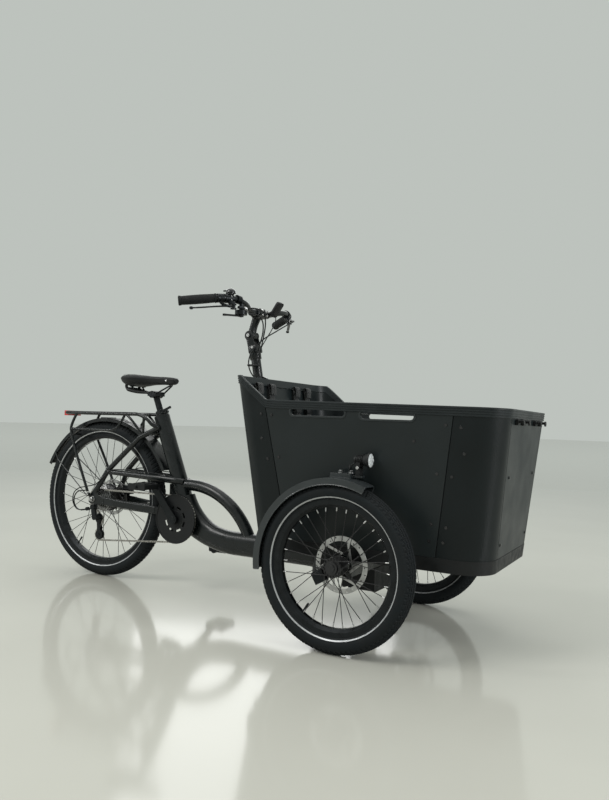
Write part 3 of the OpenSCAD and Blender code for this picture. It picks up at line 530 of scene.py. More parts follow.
class Piece:
    """Gathers solids into one mesh; mat is a solid's place in the material list."""

    def __init__(self):
        self.vertices = []
        self.faces = []
        self.mats = []

    def add(self, vertices, faces, mat=0):
        first = len(self.vertices)
        self.vertices += [Vector(v) for v in vertices]
        self.faces += [tuple(i + first for i in face) for face in faces]
        self.mats += [mat] * len(faces)

    def make(self, name, materials, **roles):
        return mesh(name, self.vertices, self.faces, materials, face_materials=self.mats,
                    **roles)

    def stack(self, vertices, size, mat=0):
        """Solid skinned over rings of size points each."""
        rings = len(vertices) // size
        self.add(vertices, end_caps(rings, size) + ring_faces(rings, size), mat)

    def tube(self, path, radius, facets=16, mat=0, flat=1.0, closed=False, steps=8,
             level=False, side=1):
        """Tube along a path; radius in mm, or a function of the fraction 0..1 along it.

        flat scales the second axis of the section, level keeps the first one horizontal
        and steps=0 takes the path as it is, without smoothing.
        """
        path = [place(spot, side) for spot in path]
        if steps:
            path = smooth_path(path, steps, closed)
        directions = tangents(path, closed)
        normals = untwisted_normals(directions)
        lengths = [0.0]
        for i in range(1, len(path)):
            lengths.append(lengths[-1] + (path[i] - path[i - 1]).length)
        total = lengths[-1] or 1
        vertices = []
        for i, spot in enumerate(path):
            size = (radius(lengths[i] / total) if callable(radius) else radius) / 1000.0
            first = normals[i]
            if level:
                first = Vector((0, 0, 1)).cross(directions[i]).normalized()
            second = directions[i].cross(first)
            for k in range(facets):
                angle = 2 * math.pi * k / facets
                vertices.append(spot + first * (math.cos(angle) * size)
                                + second * (math.sin(angle) * size * flat))
        faces = ring_faces(len(path), facets, loop=closed)
        if not closed:
            faces += end_caps(len(path), facets)
        self.add(vertices, faces, mat)

    def turn(self, profile, centre, axis, steps=48, mat=0):
        """Turned solid; profile is (radius, distance along axis) in mm.

        The profile is a closed loop unless it starts on the axis.
        """
        centre = place(centre)
        axis = Vector(axis).normalized()
        first = axis.orthogonal().normalized()
        second = axis.cross(first)
        vertices = []
        for i in range(steps):
            angle = math.radians(360.0 * i / steps)
            outward = first * math.cos(angle) + second * math.sin(angle)
            for radius, along in profile:
                vertices.append(centre + outward * (max(radius, POLE_RADIUS) / 1000.0)
                                + axis * (along / 1000.0))
        self.add(vertices, ring_faces(steps, len(profile), loop=True,
                                      open_ring=profile[0][0] == 0), mat)

    def box(self, low, high, mat=0, rotation=None, bevel=1.2):
        """Box between two corners with rounded edges, rotated about its centre."""
        size = [b - a for a, b in zip(low, high)]
        centre = Vector([(b + a) / 2 for a, b in zip(low, high)])
        work = bmesh.new()
        bmesh.ops.create_cube(work, size=1.0)
        for v in work.verts:
            v.co = Vector((v.co.x * size[0], v.co.y * size[1], v.co.z * size[2]))
        bmesh.ops.bevel(work, geom=work.edges[:], offset=min(bevel, min(size) * 0.4),
                        segments=2, affect="EDGES", profile=0.6)
        vertices = []
        for v in work.verts:
            offset = v.co.copy()
            if rotation is not None:
                offset = rotation @ offset
            vertices.append(point(*(centre + offset)))
        work.verts.index_update()
        faces = [tuple(v.index for v in face.verts) for face in work.faces]
        work.free()
        self.add(vertices, faces, mat)

    def strap(self, path, width, thick, across, steps=10, mat=0, side=1):
        """Flat strap with its width along the vector across."""
        path = smooth_path([place(spot, side) for spot in path], steps)
        across = Vector(across).normalized()
        # section in half widths and half thicknesses
        section = ((-1, -0.7), (-0.96, -1), (0.96, -1), (1, -0.7),
                   (1, 0.7), (0.96, 1), (-0.96, 1), (-1, 0.7))
        vertices = []
        for spot, direction in zip(path, tangents(path)):
            wide = (across - direction * across.dot(direction)).normalized()
            normal = direction.cross(wide).normalized()
            for u, v in section:
                vertices.append(spot + wide * (u * (width / 2000.0))
                                + normal * (v * (thick / 2000.0)))
        faces = ring_faces(len(path), len(section)) + end_caps(len(path), len(section))
        self.add(vertices, faces, mat)


# ------------------------------------------------------------------ wheels
TYRE_SECTION = 30.0     # mm, radius of the round tyre section
BEAD_ANGLE = 153.0      # degrees round the section from the crown to the bead
BLOCK_STEPS = 8         # rings per tread block
GROOVE_CANT = 0.0099    # blocks of slant per degree round the section


def tread_depth(angle, step, stripe_angle):
    """Depth (mm) cut below the round section, negative where it stands proud."""
    x = abs(angle)
    if x >= 76:
        if abs(abs(x - stripe_angle) - 8) < 1.6:  # lines either side of the stripe
            return -0.5
        return -0.4 if x > 142 else 0.0
    if x >= 68:
        return 0.55 if step // 2 % 2 == 0 else 0.2
    if x >= 62:
        return 1.0
    along = step / BLOCK_STEPS
    block = (along + GROOVE_CANT * x + (0.25 if angle > 0 else 0.0)) % 1.0
    if 8.5 <= x <= 12.5 or 30 <= x <= 33.5:
        return 2.6
    if 18.5 <= x <= 21 or 45 <= x <= 48:
        return 1.8
    if x > 12 and block < 0.34:
        return 2.8
    if x <= 8.5 and along * 2 % 1.0 < 0.13:
        return 1.2
    if 33.5 < x < 58 and 0.55 < block < 0.66:
        return 1.0
    return 0.0


def tyre(name, node, body, axle, radius, y, blocks, stripe_angle):
    core = radius - TYRE_SECTION
    angles = []
    angle = -BEAD_ANGLE
    while angle < BEAD_ANGLE + 0.01:
        angles.append(angle)
        x = abs(angle)
        angle += 2.4 if x < 66 else (3.0 if abs(x - stripe_angle) < 9 else 5.0)
    angles[-1] = BEAD_ANGLE
    steps = blocks * BLOCK_STEPS
    vertices = []
    for i in range(steps):
        turn = 2 * math.pi * i / steps
        for angle in angles:
            section = TYRE_SECTION - tread_depth(angle, i, stripe_angle)
            tilt = math.radians(angle)
            r = core + section * math.cos(tilt)
            vertices.append(axle + Vector((r * math.cos(turn) / 1000,
                                           (y + section * math.sin(tilt)) / 1000,
                                           r * math.sin(turn) / 1000)))
    middles = [abs((a + b) / 2) for a, b in zip(angles, angles[1:])] + [180]
    stripes = [1 if abs(middle - stripe_angle) < 5.2 else 0 for middle in middles]
    mesh(name, vertices, ring_faces(steps, len(angles), loop=True), ("rubber", "stripe"),
         face_materials=stripes * steps, body=body, slot="tyre_rubber", node=node, sharp=38)


def valve(name, body, axle, y, rim_radius):
    outward = Vector((math.cos(4.1), 0, math.sin(4.1)))
    base = axle + Vector((0, y / 1000, 0)) + outward * (rim_radius / 1000)
    part = Piece()
    part.turn([(0, 0), (3.4, 0), (3.4, 1.5), (2.9, 2.2), (2.9, 18), (3.6, 18.5), (3.6, 30),
               (3.0, 33), (0, 33)], base, -outward, steps=16)
    part.make(name, "plastic", body=body, slot="black_plastic")


def wheels():
    tyre("tyre_rear", "rear_tyre", "rear_wheel", REAR_AXLE, REAR_RADIUS, 0.0,
         blocks=116, stripe_angle=120.0)
    for side, label in SIDES:
        tyre("tyre_front_" + label, f"front_{label}_tyre", "wheel_" + label, FRONT_AXLE,
             FRONT_RADIUS, side * HALF_TRACK, blocks=92, stripe_angle=126.0)
    valve("valve_rear", "rear_wheel", REAR_AXLE, 0, rim_radius=263)
    for side, label in SIDES:
        valve("valve_f" + label[0], "wheel_" + label, FRONT_AXLE, side * HALF_TRACK,
              rim_radius=184)


# ------------------------------------------------------------------ chain
CHAIN_Y = -50
CHAIN_PITCH = 12.7
# Wheels the chain runs round: x, z, radius, sense (-1 where it bends the other way)
CHAIN_WHEELS = [(0, 340, 40.4, 1), (447, 293, 94.2, 1), (27, 186, 24.6, 1), (20, 250, 21.4, -1)]


def chain_line():
    """Points (x, z) of the chain's closed line round its wheels."""
    count = len(CHAIN_WHEELS)
    runs = []
    for i in range(count):
        x, z, radius, sense = CHAIN_WHEELS[i]
        next_x, next_z, next_radius, next_sense = CHAIN_WHEELS[(i + 1) % count]
        gap = np.array([next_x - x, next_z - z])
        length = np.hypot(*gap)
        lean = (sense * radius - next_sense * next_radius) / length
        unit = gap / length
        square = np.array([-unit[1], unit[0]])
        normal = unit * lean + square * math.sqrt(max(0, 1 - lean * lean))
        runs.append((np.array([x, z]) + sense * radius * normal,
                     np.array([next_x, next_z]) + next_sense * next_radius * normal))
    line = []
    for i in range(count):
        start, end = runs[i]
        steps = max(2, int(np.hypot(*(end - start)) / 3))
        line += [start + (end - start) * j / steps for j in range(steps)]
        x, z, radius, sense = CHAIN_WHEELS[(i + 1) % count]
        leave = runs[(i + 1) % count][0]
        angle = math.atan2(end[1] - z, end[0] - x)
        last = math.atan2(leave[1] - z, leave[0] - x)
        if sense > 0:
            while last > angle:
                last -= 2 * math.pi
        else:
            while last < angle:
                last += 2 * math.pi
        steps = max(2, int(abs(last - angle) * radius / 2))
        for j in range(steps):
            t = angle + (last - angle) * j / steps
            line.append(np.array([x + radius * math.cos(t), z + radius * math.sin(t)]))
    return np.array(line)


def chain():
    line = chain_line()
    spans = np.linalg.norm(np.roll(line, -1, 0) - line, axis=1)
    along = np.concatenate([[0], np.cumsum(spans)])
    count = int(round(along[-1] / CHAIN_PITCH / 2)) * 2  # even, as the links alternate
    loop = np.vstack([line, line[:1]])
    pins = [np.array([np.interp(along[-1] * i / count, along, loop[:, k]) for k in (0, 1)])
            for i in range(count)]
    part = Piece()
    for i in range(count):
        pin = pins[i]
        step = pins[(i + 1) % count] - pin
        length = np.hypot(*step)
        forward = step / length
        square = np.array([-forward[1], forward[0]])
        outer = i % 2 == 0
        half = 4.0 if outer else 3.7
        outline = arc(length, 0, half, -90, 180, 6)
        outline.append((length / 2, half * 0.66))
        outline += arc(0, 0, half, 90, 180, 6)
        outline.append((length / 2, -half * 0.66))
        spots = [pin + forward * u + square * v for u, v in outline]
        for side in (-1, 1):
            y = CHAIN_Y + side * (3.0 if outer else 1.9)
            part.stack([point(spot[0], y + w, spot[1]) for w in (-0.5, 0.5)
                        for spot in spots], len(spots))
        part.turn([(0, -3.9), (1.7, -3.9), (1.7, -1.4), (3.8, -1.4), (3.8, 1.4), (1.7, 1.4),
                   (1.7, 3.9), (0, 3.9)], (pin[0], CHAIN_Y, pin[1]), (0, 1, 0), steps=10)
    part.make("chain_links", "chain", body="frame", slot="chain_steel", node="chain", sharp=40)


# ------------------------------------------------------------------ saddle
SADDLE_REAR = 115
SADDLE_LENGTH = 265
# Half width, top height and bottom height of the saddle against x, rear to nose
SADDLE_WIDTH = [
    (115, 40), (120, 58), (132, 73), (150, 81), (172, 84), (196, 76), (222, 57), (250, 39),
    (285, 28), (325, 22), (355, 20), (372, 18), (380, 13)]
SADDLE_TOP = [
    (115, 876), (122, 881), (136, 886.5), (155, 889.5), (180, 889), (210, 886),
    (245, 882.5), (290, 880.5), (335, 879), (362, 876), (376, 872), (380, 868)]
SADDLE_BOTTOM = [
    (115, 862), (120, 850), (132, 840), (160, 836), (205, 838), (255, 843), (310, 845),
    (350, 844), (372, 846), (380, 850)]


def smooth_lookup(table, x):
    """Smooth curve through the (x, value) rows, read at x."""
    xs, values = zip(*table)
    for i in range(len(xs) - 1):
        if xs[i] <= x <= xs[i + 1]:
            gap = xs[i + 1] - xs[i]
            t = (x - xs[i]) / gap
            before = max(i - 1, 0)
            after = min(i + 2, len(xs) - 1)
            slope = (values[i + 1] - values[before]) / (xs[i + 1] - xs[before])
            next_slope = (values[after] - values[i]) / (xs[after] - xs[i])
            return ((2 * t ** 3 - 3 * t ** 2 + 1) * values[i]
                    + (t ** 3 - 2 * t ** 2 + t) * gap * slope
                    + (-2 * t ** 3 + 3 * t ** 2) * values[i + 1]
                    + (t ** 3 - t ** 2) * gap * next_slope)
    return values[0] if x < xs[0] else values[-1]


def saddle_shell():
    """Builds the padded shell and returns its side line as (x, half width, z)."""
    stations = 47
    ring = 32
    vertices = []
    seam = []
    for i in range(stations):
        x = SADDLE_REAR + SADDLE_LENGTH * (0.5 - 0.5 * math.cos(math.pi * i / (stations - 1)))
        width = smooth_lookup(SADDLE_WIDTH, x)
        top = smooth_lookup(SADDLE_TOP, x)
        bottom = smooth_lookup(SADDLE_BOTTOM, x)
        middle = top - (top - bottom) * 0.36
        # the shallow channel down the middle fades out over 30 mm at each end
        fade = (1 if 150 < x < 330
                else max(0.0, 1 - min(abs(x - 150), abs(x - 330)) / 30.0))
        for k in range(ring):
            angle = 2 * math.pi * k / ring
            across = math.cos(angle)
            rise = math.sin(angle)
            y = width * math.copysign(abs(across) ** 0.82, across)
            if rise >= 0:
                z = middle + (top - middle) * (rise ** 0.8)
                z -= 3.2 * math.exp(-(y / 9.0) ** 2) * fade
            else:
                z = middle + (middle - bottom) * -(abs(rise) ** 0.7)
                y *= 1.0 - 0.16 * abs(rise) ** 0.7
            vertices.append(point(x, y, z))
        seam.append((x, width * 0.985, middle + 1.0))
    caps = [cap[::-1] for cap in end_caps(stations, ring)]
    shell = mesh("saddle_shell", vertices, ring_faces(stations, ring) + caps, "leather",
                 body="seat", slot="saddle_cover", node="saddle", sharp=80)
    smoother = shell.modifiers.new("sub", "SUBSURF")
    smoother.levels = 1
    smoother.render_levels = 1
    return seam


def saddle_seams(seam):
    """A cord along each side and a row of stitches on each half of the top."""
    part = Piece()
    stitch_lift = Vector((0, 0, 0.0006))
    for side in (-1, 1):
        part.tube(seam, 1.3, facets=6, steps=0, side=side)
        row = []
        for x, y, _ in seam[3:-3]:
            top = smooth_lookup(SADDLE_TOP, x)
            z = top - (top - smooth_lookup(SADDLE_BOTTOM, x)) * 0.075
            row.append((x, side * y * 0.80, z))
        row = smooth_path(row, 4)
        for i in range(0, len(row) - 2, 3):
            part.tube([row[i] + stitch_lift, row[i + 2] + stitch_lift], 0.55, facets=5,
                      steps=0, mat=1)
    part.make("saddle_seams", ("leather", "thread"), body="seat", slot="saddle_cover")


def saddle_base():
    """Pads, rail loop and rail bolts under the saddle."""
    part = Piece()
    for side in (-1, 1):
        part.turn([(0, 0), (9, 0), (10, 3), (10, 12), (8, 15), (0, 15)],
                  (164, side * 36, 835), (0, 0, 1), steps=24)
    half = [(134, 0, 826), (135, 20, 826), (140, 36, 825), (152, 43, 821), (172, 40, 816),
            (196, 32, 812), (226, 24, 810.5), (252, 22, 810.5)]
    loop = [(x, -y, z) for x, y, z in reversed(half)] + half[1:]
    part.tube(loop, lambda t: 5.2 + 2.6 * math.sin(math.pi * t), facets=14, steps=5, mat=1)
    for side in (-1, 1):
        part.tube([(140, 36, 824), (136, 40, 834), (138, 42, 846)], 6.4, facets=12, mat=1,
                  side=side)
    for side in (-1, 1):
        part.turn([(0, 0), (4.4, 0), (4.4, 1.2), (3.4, 2.0), (0, 2.2)],
                  (338, side * 20.4, 862), (0.08, side, 0.1), steps=20, mat=2)
    part.make("saddle_bumpers", ("rubber", "plastic", "steel"), body="seat",
              slot="grip_rubber")


# ------------------------------------------------------------------ handlebar
BAR_RADIUS = 11.1
BAR_CENTRE_RADIUS = 15.85
# Left half of the bar's centre line
BAR_LINE = [
    BAR_CLAMP, (776, 26, 1129), (777.5, 52, 1130.5), (786, 82, 1138), (795, 115, 1147),
    (796.5, 152, 1154), (791, 188, 1157), (779, 222, 1155), (762, 252, 1151.5),
    (706, 295.5, 1142.2), (651, 338, 1133)]
LEVER_LINE = [
    (801, 203, 1126), (790, 220, 1125), (775, 245, 1121.5), (757, 273, 1116.5),
    (738, 302, 1110.5), (722, 326, 1106), (713, 339.5, 1103.6)]


def bar_tube():
    line = smooth_path([(x, -y, z) for x, y, z in reversed(BAR_LINE)] + BAR_LINE[1:], 8)
    total = sum((b - a).length for a, b in zip(line, line[1:]))

    def radius(t):
        """Thick for 42 mm either side of the middle, tapering to the bar by 78 mm."""
        distance = abs(t - 0.5) * total * 1000
        if distance < 42:
            return BAR_CENTRE_RADIUS
        if distance < 78:
            u = (distance - 42) / 36.0
            u = u * u * (3 - 2 * u)
            return BAR_CENTRE_RADIUS + (BAR_RADIUS - BAR_CENTRE_RADIUS) * u
        return BAR_RADIUS

    part = Piece()
    part.tube(line, radius, facets=28, steps=0)
    part.make("bar_tube", "frame", body="bar", slot="frame_black", node="handlebar")


def grip_radius(t):
    """Collar, swelling ribbed sleeve and flared end of a grip, inner end first."""
    if t < 0.045:
        return 17.4
    if t < 0.06:
        return 16.2
    if t > 0.965:
        return 18.2
    if t > 0.93:
        return 17.2 + (t - 0.93) * 30
    swell = 15.9 + 1.3 * math.sin(math.pi * (t - 0.06) / 0.87) ** 0.8
    return swell + 0.42 * (1 if int(t * 86) % 2 == 0 else -0.3)


def grips():
    steps = 172
    part = Piece()
    for side in (-1, 1):
        inner = place((758, 255.1, 1150.8), side)
        outer = place((650.3, 338.5, 1132.9), side)
        part.tube([inner.lerp(outer, i / steps) for i in range(steps + 1)], grip_radius,
                  facets=32, steps=0)
        outward = (outer - inner).normalized()
        part.turn([(0, 0), (14.5, 0), (15.5, -0.8), (16, -2), (0, -2)],
                  outer + outward * 0.0016, outward, steps=28, mat=1)
        part.turn([(16, -2), (18.2, -2), (18.6, 0), (18.2, 2.2), (16, 2.2)],
                  inner + outward * 0.004, outward, steps=36, mat=2)
    part.make("grip_sleeves", ("grip", "plastic", "alloy"), body="bar", slot="grip_rubber",
              node="grips", sharp=60)


def lever_radius(t):
    if t < 0.08:
        return 6.4
    return 6.6 - 1.4 * t if t < 0.9 else 5.0


def levers():
    for side, label in SIDES:
        part = Piece()
        part.tube(LEVER_LINE, lever_radius, facets=14, flat=0.55, level=True, side=side)
        part.turn([(0, -5.6), (4, -5.3), (6.6, -3), (7.4, 0), (6.6, 3), (4, 5.3), (0, 5.6)],
                  (712, side * 341, 1103.3), (0, 0, 1), steps=20)
        part.turn([(2.2, -3.5), (7.2, -3.5), (7.6, 0), (7.2, 3.5), (2.2, 3.5)],
                  (800, side * 204, 1125.9), (0, 0, 1), steps=24)
        part.make("lever_blade_" + label, "alloy", body="brake_" + label[0],
                  slot="dark_alloy", node="brake_lever_" + label)


def lever_hardware():
    """Clamp rings, screws and ferrules of the lever brackets, then sleeves and arms."""
    part = Piece()
    for side in (-1, 1):
        outward = (place((773, 227.3, 1153.5), side)
                   - place((787, 196, 1156.1), side)).normalized()
        clamp = place((780, 211.6, 1154.8), side)
        for offset in (-9, 9):
            part.turn([(15.5, -1.4), (17.6, -1.4), (17.9, 0), (17.6, 1.4), (15.5, 1.4)],
                      clamp + outward * (offset / 1000.0), outward, steps=40)
        for up in (-1, 1):
            part.turn([(0, 0), (2.0, 0), (2.0, -2), (3.4, -2), (3.4, 2.2), (2.8, 3), (0, 3)],
                      clamp + Vector((0.0155, 0, up * 0.006)), (1, 0, 0.25), steps=18, mat=1)
        part.turn([(4.2, 0), (6.2, 0), (6.6, 2), (6.2, 9), (4.6, 11), (4.2, 11)],
                  (826, side * 170.5, 1122.2),
                  place((828, 168, 1122), side) - place((806, 200, 1126), side),
                  steps=24, mat=1)
    for side in (-1, 1):
        start = place((774.2, 232.2, 1153.9), side)
        along = place((758.6, 254.6, 1150.9), side) - start
        length = along.length * 1000
        part.turn([(11.3, 0), (15.4, 0.4), (16.6, 2), (16.6, length * 0.4),
                   (15.0, length * 0.45), (15.0, length * 0.55), (16.8, length * 0.6),
                   (17.2, length - 2.5), (15.8, length - 0.8), (11.3, length - 0.8)],
                  start, along.normalized(), steps=36)
        part.tube([(764, 246, 1148), (772, 243, 1134), (784, 236, 1127), (796, 218, 1124)],
                  5.2, facets=12, side=side)
    part.make("lever_hardware", ("alloy", "steel"), body="bar", slot="dark_alloy")


def display():
    """Rounded display slab whose face looks back and up, with its clamp on the bar."""
    length, width, thick = 66, 44, 12
    corner = 9
    bevel = 2.0
    outline = []
    for u, v, start in ((1, 1, 0), (-1, 1, 90), (-1, -1, 180), (1, -1, 270)):
        outline += arc(u * (length / 2 - corner), v * (width / 2 - corner), corner,
                       start, 90, 6)
    tilt = about_y(-56)

    def spot(x, y, z):
        return point(*(Vector((827.5, 56, 1152)) + tilt @ Vector((x, y, z))))

    def inset(x, amount):
        return x * ((abs(x) - amount) / max(abs(x), 1e-6))

    # height through the slab, inset of the outline there
    upper = [(thick / 2 - bevel, 0), (thick / 2 - bevel * 0.3, bevel * 0.3),
             (thick / 2, bevel)]
    lower = [(-z, amount) for z, amount in reversed(upper)]
    part = Piece()
    part.stack([spot(inset(x, amount), inset(y, amount), z)
                for z, amount in lower + upper for x, y in outline], len(outline))
    part.stack([spot(x * 0.84, y * 0.86, z) for z in (thick / 2 - 1, thick / 2 + 0.35)
                for x, y in outline], len(outline), mat=1)  # the screen
    part.make("display_unit", ("plastic", "gloss"), body="bar", slot="black_plastic",
              node="display", sharp=40)

    part = Piece()
    part.turn([(11.4, -5), (14.6, -5), (15.2, 0), (14.6, 5), (11.4, 5)],
              (779.5, 57, 1131.8), (0.12, 0.97, 0.2), steps=36)
    part.tube([(790, 57, 1137), (803, 57, 1142), (820, 56, 1147)], 5.5, facets=14)
    part.make("display_clamp", "plastic", body="bar", slot="black_plastic")


def bell():
    centre = (783, -200, 1178)
    outside = [(18.6, -1.5), (18.8, 0), (18.2, 3.5), (16.5, 8), (13.2, 12.2), (8.5, 15.2),
               (3.5, 16.4), (0, 16.6)]
    inside = [(0, 15.2), (7.8, 13.8), (12.0, 11.0), (15.2, 7.2), (17, 3), (17.4, -1.5)]
    part = Piece()
    part.turn(outside + inside, centre, (0, 0, 1))
    part.turn([(0, 0), (3.2, 0), (3.0, 1.3), (0, 1.6)], (783, -200, 1194), (0, 0, 1),
              steps=20, mat=1)
    part.turn([(0, -9), (11, -9), (12.5, -7), (13.2, -1), (12, 1.5), (0, 1.5)], centre,
              (0, 0, 1), steps=32)
    part.box((755, -198, 1173.6), (779, -186, 1177.4))
    part.turn([(0, -2), (1.4, -2), (1.4, 15), (2.6, 15), (2.6, 16.6), (0, 17)],
              (758.5, -192, 1177), (0, 0, 1), steps=16, mat=1)
    part.make("bell_dome", ("gloss", "steel"), body="bar", slot="black_plastic", node="bell")


# ------------------------------------------------------------------ box rim and slots
# Rim section: distance outward from the wall, drop below the top edge
RIM_PROFILE = [
    (-9.5, 0.6), (-8.6, -0.6), (2.2, -0.6), (3.6, 0.8), (3.9, 5.2), (2.5, 6.2), (2.5, 8.0),
    (3.9, 9.0), (3.9, 12.6), (2.5, 13.6), (2.5, 15.4), (3.9, 16.4), (3.9, 20.0),
    (2.5, 21.0), (2.5, 22.6), (3.9, 23.6), (3.9, 27.0), (2.6, 28.0), (0.3, 28.0),
    (0.3, 12), (-5, 12), (-5.4, 27.4), (-7.8, 27.6), (-9.4, 26.4)]


def top_z(x):
    for (x0, z0), (x1, z1) in zip(BOX_TOP, BOX_TOP[1:]):
        if x0 <= x <= x1:
            return z0 + (z1 - z0) * (x - x0) / (x1 - x0)
    return BOX_TOP[0][1] if x < BOX_TOP[0][0] else BOX_TOP[-1][1]


@lru_cache(None)
def plan_outline(z):
    """Plan of the box at height z: points (x, y, normal x, normal y), running lengths."""
    rear = rear_x(z) + REAR_CORNER
    front = front_x(z) - FRONT_CORNER
    width = half_width(z)
    steps = 10
    outline = []
    for x, side, radius, start in (
            (rear, -1, REAR_CORNER, 180), (front, -1, FRONT_CORNER, 270),
            (front, 1, FRONT_CORNER, 0), (rear, 1, REAR_CORNER, 90)):
        for k in range(steps + 1):
            angle = math.radians(start + 90.0 * k / steps)
            across, up = math.cos(angle), math.sin(angle)
            outline.append((x + radius * across, side * (width - radius) + radius * up,
                            across, up))
    lengths = [0]
    for here, there in zip(outline, outline[1:] + outline[:1]):
        lengths.append(lengths[-1] + math.hypot(there[0] - here[0], there[1] - here[1]))
    return outline, np.array(lengths)


def outline_point(z, fraction, outward):
    """Plan point a fraction of the way round the box, moved outward."""
    outline, lengths = plan_outline(round(z, 1))
    distance = lengths[-1] * fraction
    i = min(int(np.searchsorted(lengths, distance, side="right")) - 1, len(outline) - 1)
    t = (distance - lengths[i]) / max(lengths[i + 1] - lengths[i], 1e-9)
    x, y, normal_x, normal_y = (
        a + (b - a) * t for a, b in zip(outline[i], outline[(i + 1) % len(outline)]))
    size = math.hypot(normal_x, normal_y)
    return x + normal_x / size * outward, y + normal_y / size * outward


def rim_trim():
    """Ribbed edge trim that follows the rim of the box."""
    stations = 520
    vertices = []
    for i in range(stations):
        for outward, drop in RIM_PROFILE:
            z = 780.0
            for _ in range(4):  # the plan depends on the height and the height on the plan
                x, y = outline_point(z, i / stations, outward)
                z = top_z(x) - drop
            vertices.append(point(x, y, z))
    mesh("rim_band", vertices, ring_faces(stations, len(RIM_PROFILE), loop=True), "trim",
         body="front_module", slot="trim_grey", node="rim_trim", sharp=28)


def slot_bezel(name, rear, front, z, side):
    """Lipped bezel round a slot with round ends in a side wall."""
    slot_height = 26.0
    rise = math.cos(math.atan(WALL_FLARE))
    vertices = []
    # growth of the stadium outline, distance outward from the wall
    for grow, outward in ((-5, -5.5), (-5, 1.0), (-2, 2.2), (8, 2.0), (10, 0.25),
                          (-0.6, 0.25), (-0.6, -5.5)):
        radius = (slot_height + grow) / 2
        reach = (front - rear + grow) / 2 - radius
        stadium = arc(reach, 0, radius, -90, 180, 10) + arc(-reach, 0, radius, 90, 180, 10)
        for u, v in stadium:
            height = z + v * rise
            vertices.append(point((rear + front) / 2 + u,
                                  side * (half_width(height) + outward), height))
    size = len(stadium)
    mesh(name, vertices, ring_faces(len(vertices) // size, size, loop=True), "bezel",
         body="front_module", slot="trim_grey", sharp=30)


def slot_bezels():
    for side, label in SIDES:
        slot_bezel("slot_bezel_rear_" + label, 1126, 1328, 740, side)
        slot_bezel("slot_bezel_front_" + label, 1380, 1562, 735, side)


# ------------------------------------------------------------------ seat pad and harness
# Plan of the pad and of the piping round it: x, y of the right half, rear to front
PAD_HALF = [(952, -197), (1006, -264), (1168, -266), (1179, -255)]
PIPING_HALF = [(951, -197), (1006, -268), (1169, -270), (1182, -257)]
PAD_BOTTOM = 563.5
PAD_TOP = 597
CLOTH_FRAMES = 20
MAX_PUFF = 0.011        # m, furthest the cloth may move


def both_halves(half):
    return half + [(x, -y) for x, y in reversed(half)]


def puff(pad, start):
    """Vertex places after the cloth is inflated, with the movement capped."""
    cloth = pad.modifiers.new("cloth", "CLOTH")
    settings = cloth.settings
    settings.use_pressure = True
    settings.uniform_pressure_force = 4.0
    settings.effector_weights.gravity = 0.0
    settings.quality = 6
    settings.mass = 0.3
    cloth.point_cache.frame_start = 1
    cloth.point_cache.frame_end = CLOTH_FRAMES
    scene = bpy.context.scene
    for number in range(1, CLOTH_FRAMES + 1):
        scene.frame_set(number)
    evaluated = pad.evaluated_get(bpy.context.evaluated_depsgraph_get())
    end = coordinates(evaluated.to_mesh())
    evaluated.to_mesh_clear()
    pad.modifiers.remove(cloth)
    scene.frame_set(1)
    move = end - start
    length = np.linalg.norm(move, axis=1, keepdims=True)
    return start + move * np.minimum(1, MAX_PUFF / np.maximum(length, 1e-9))


def coordinates(data):
    flat = np.empty(len(data.vertices) * 3)
    data.vertices.foreach_get("co", flat)
    return flat.reshape(-1, 3)


def seat_pad():
    plan = both_halves(PAD_HALF)
    part = Piece()
    part.stack([point(x, y, z) for z in (PAD_BOTTOM, PAD_TOP) for x, y in plan], len(plan))
    pad = part.make("seat_pad", "cushion")
    bpy.context.view_layer.objects.active = pad
    for other in bpy.context.selected_objects:
        other.select_set(False)
    pad.select_set(True)
    remesh = pad.modifiers.new("rm", "REMESH")
    remesh.mode = "VOXEL"
    remesh.voxel_size = 0.0065
    bpy.ops.object.modifier_apply(modifier=remesh.name)
    start = coordinates(pad.data)
    places = puff(pad, start)
    # sewn channels: three run forward, one across
    x = (places[:, 0] - REAR_AXLE_X) * 1000
    y = places[:, 1] * 1000
    top = places[:, 2] * 1000 > 585
    for channel in (-132, 0, 132):
        places[top, 2] -= 0.0055 * np.exp(-((y[top] - channel) / 5.0) ** 2)
    places[top, 2] -= 0.004 * np.exp(-((x[top] - 1066) / 5.0) ** 2)
    places[:, 2] = np.maximum(places[:, 2], 0.5612)
    pad.data.vertices.foreach_set("co", places.reshape(-1))
    pad.data.update()
    for face in pad.data.polygons:
        face.use_smooth = True
    smoother = pad.modifiers.new("sub", "SUBSURF")
    smoother.levels = 1
    smoother.render_levels = 1
    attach(pad, "front_module")
    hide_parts("seat_cushion")


def seat_piping():
    corners = [point(x, y, PAD_TOP + 1) for x, y in both_halves(PIPING_HALF)]
    path = [here.lerp(there, k / 6)
            for here, there in zip(corners, corners[1:] + corners[:1]) for k in range(6)]
    part = Piece()
    part.tube(path, 2.2, facets=8, closed=True, steps=3)
    part.make("seat_pad_piping", "cushion", body="front_module", slot="cushion_cover")


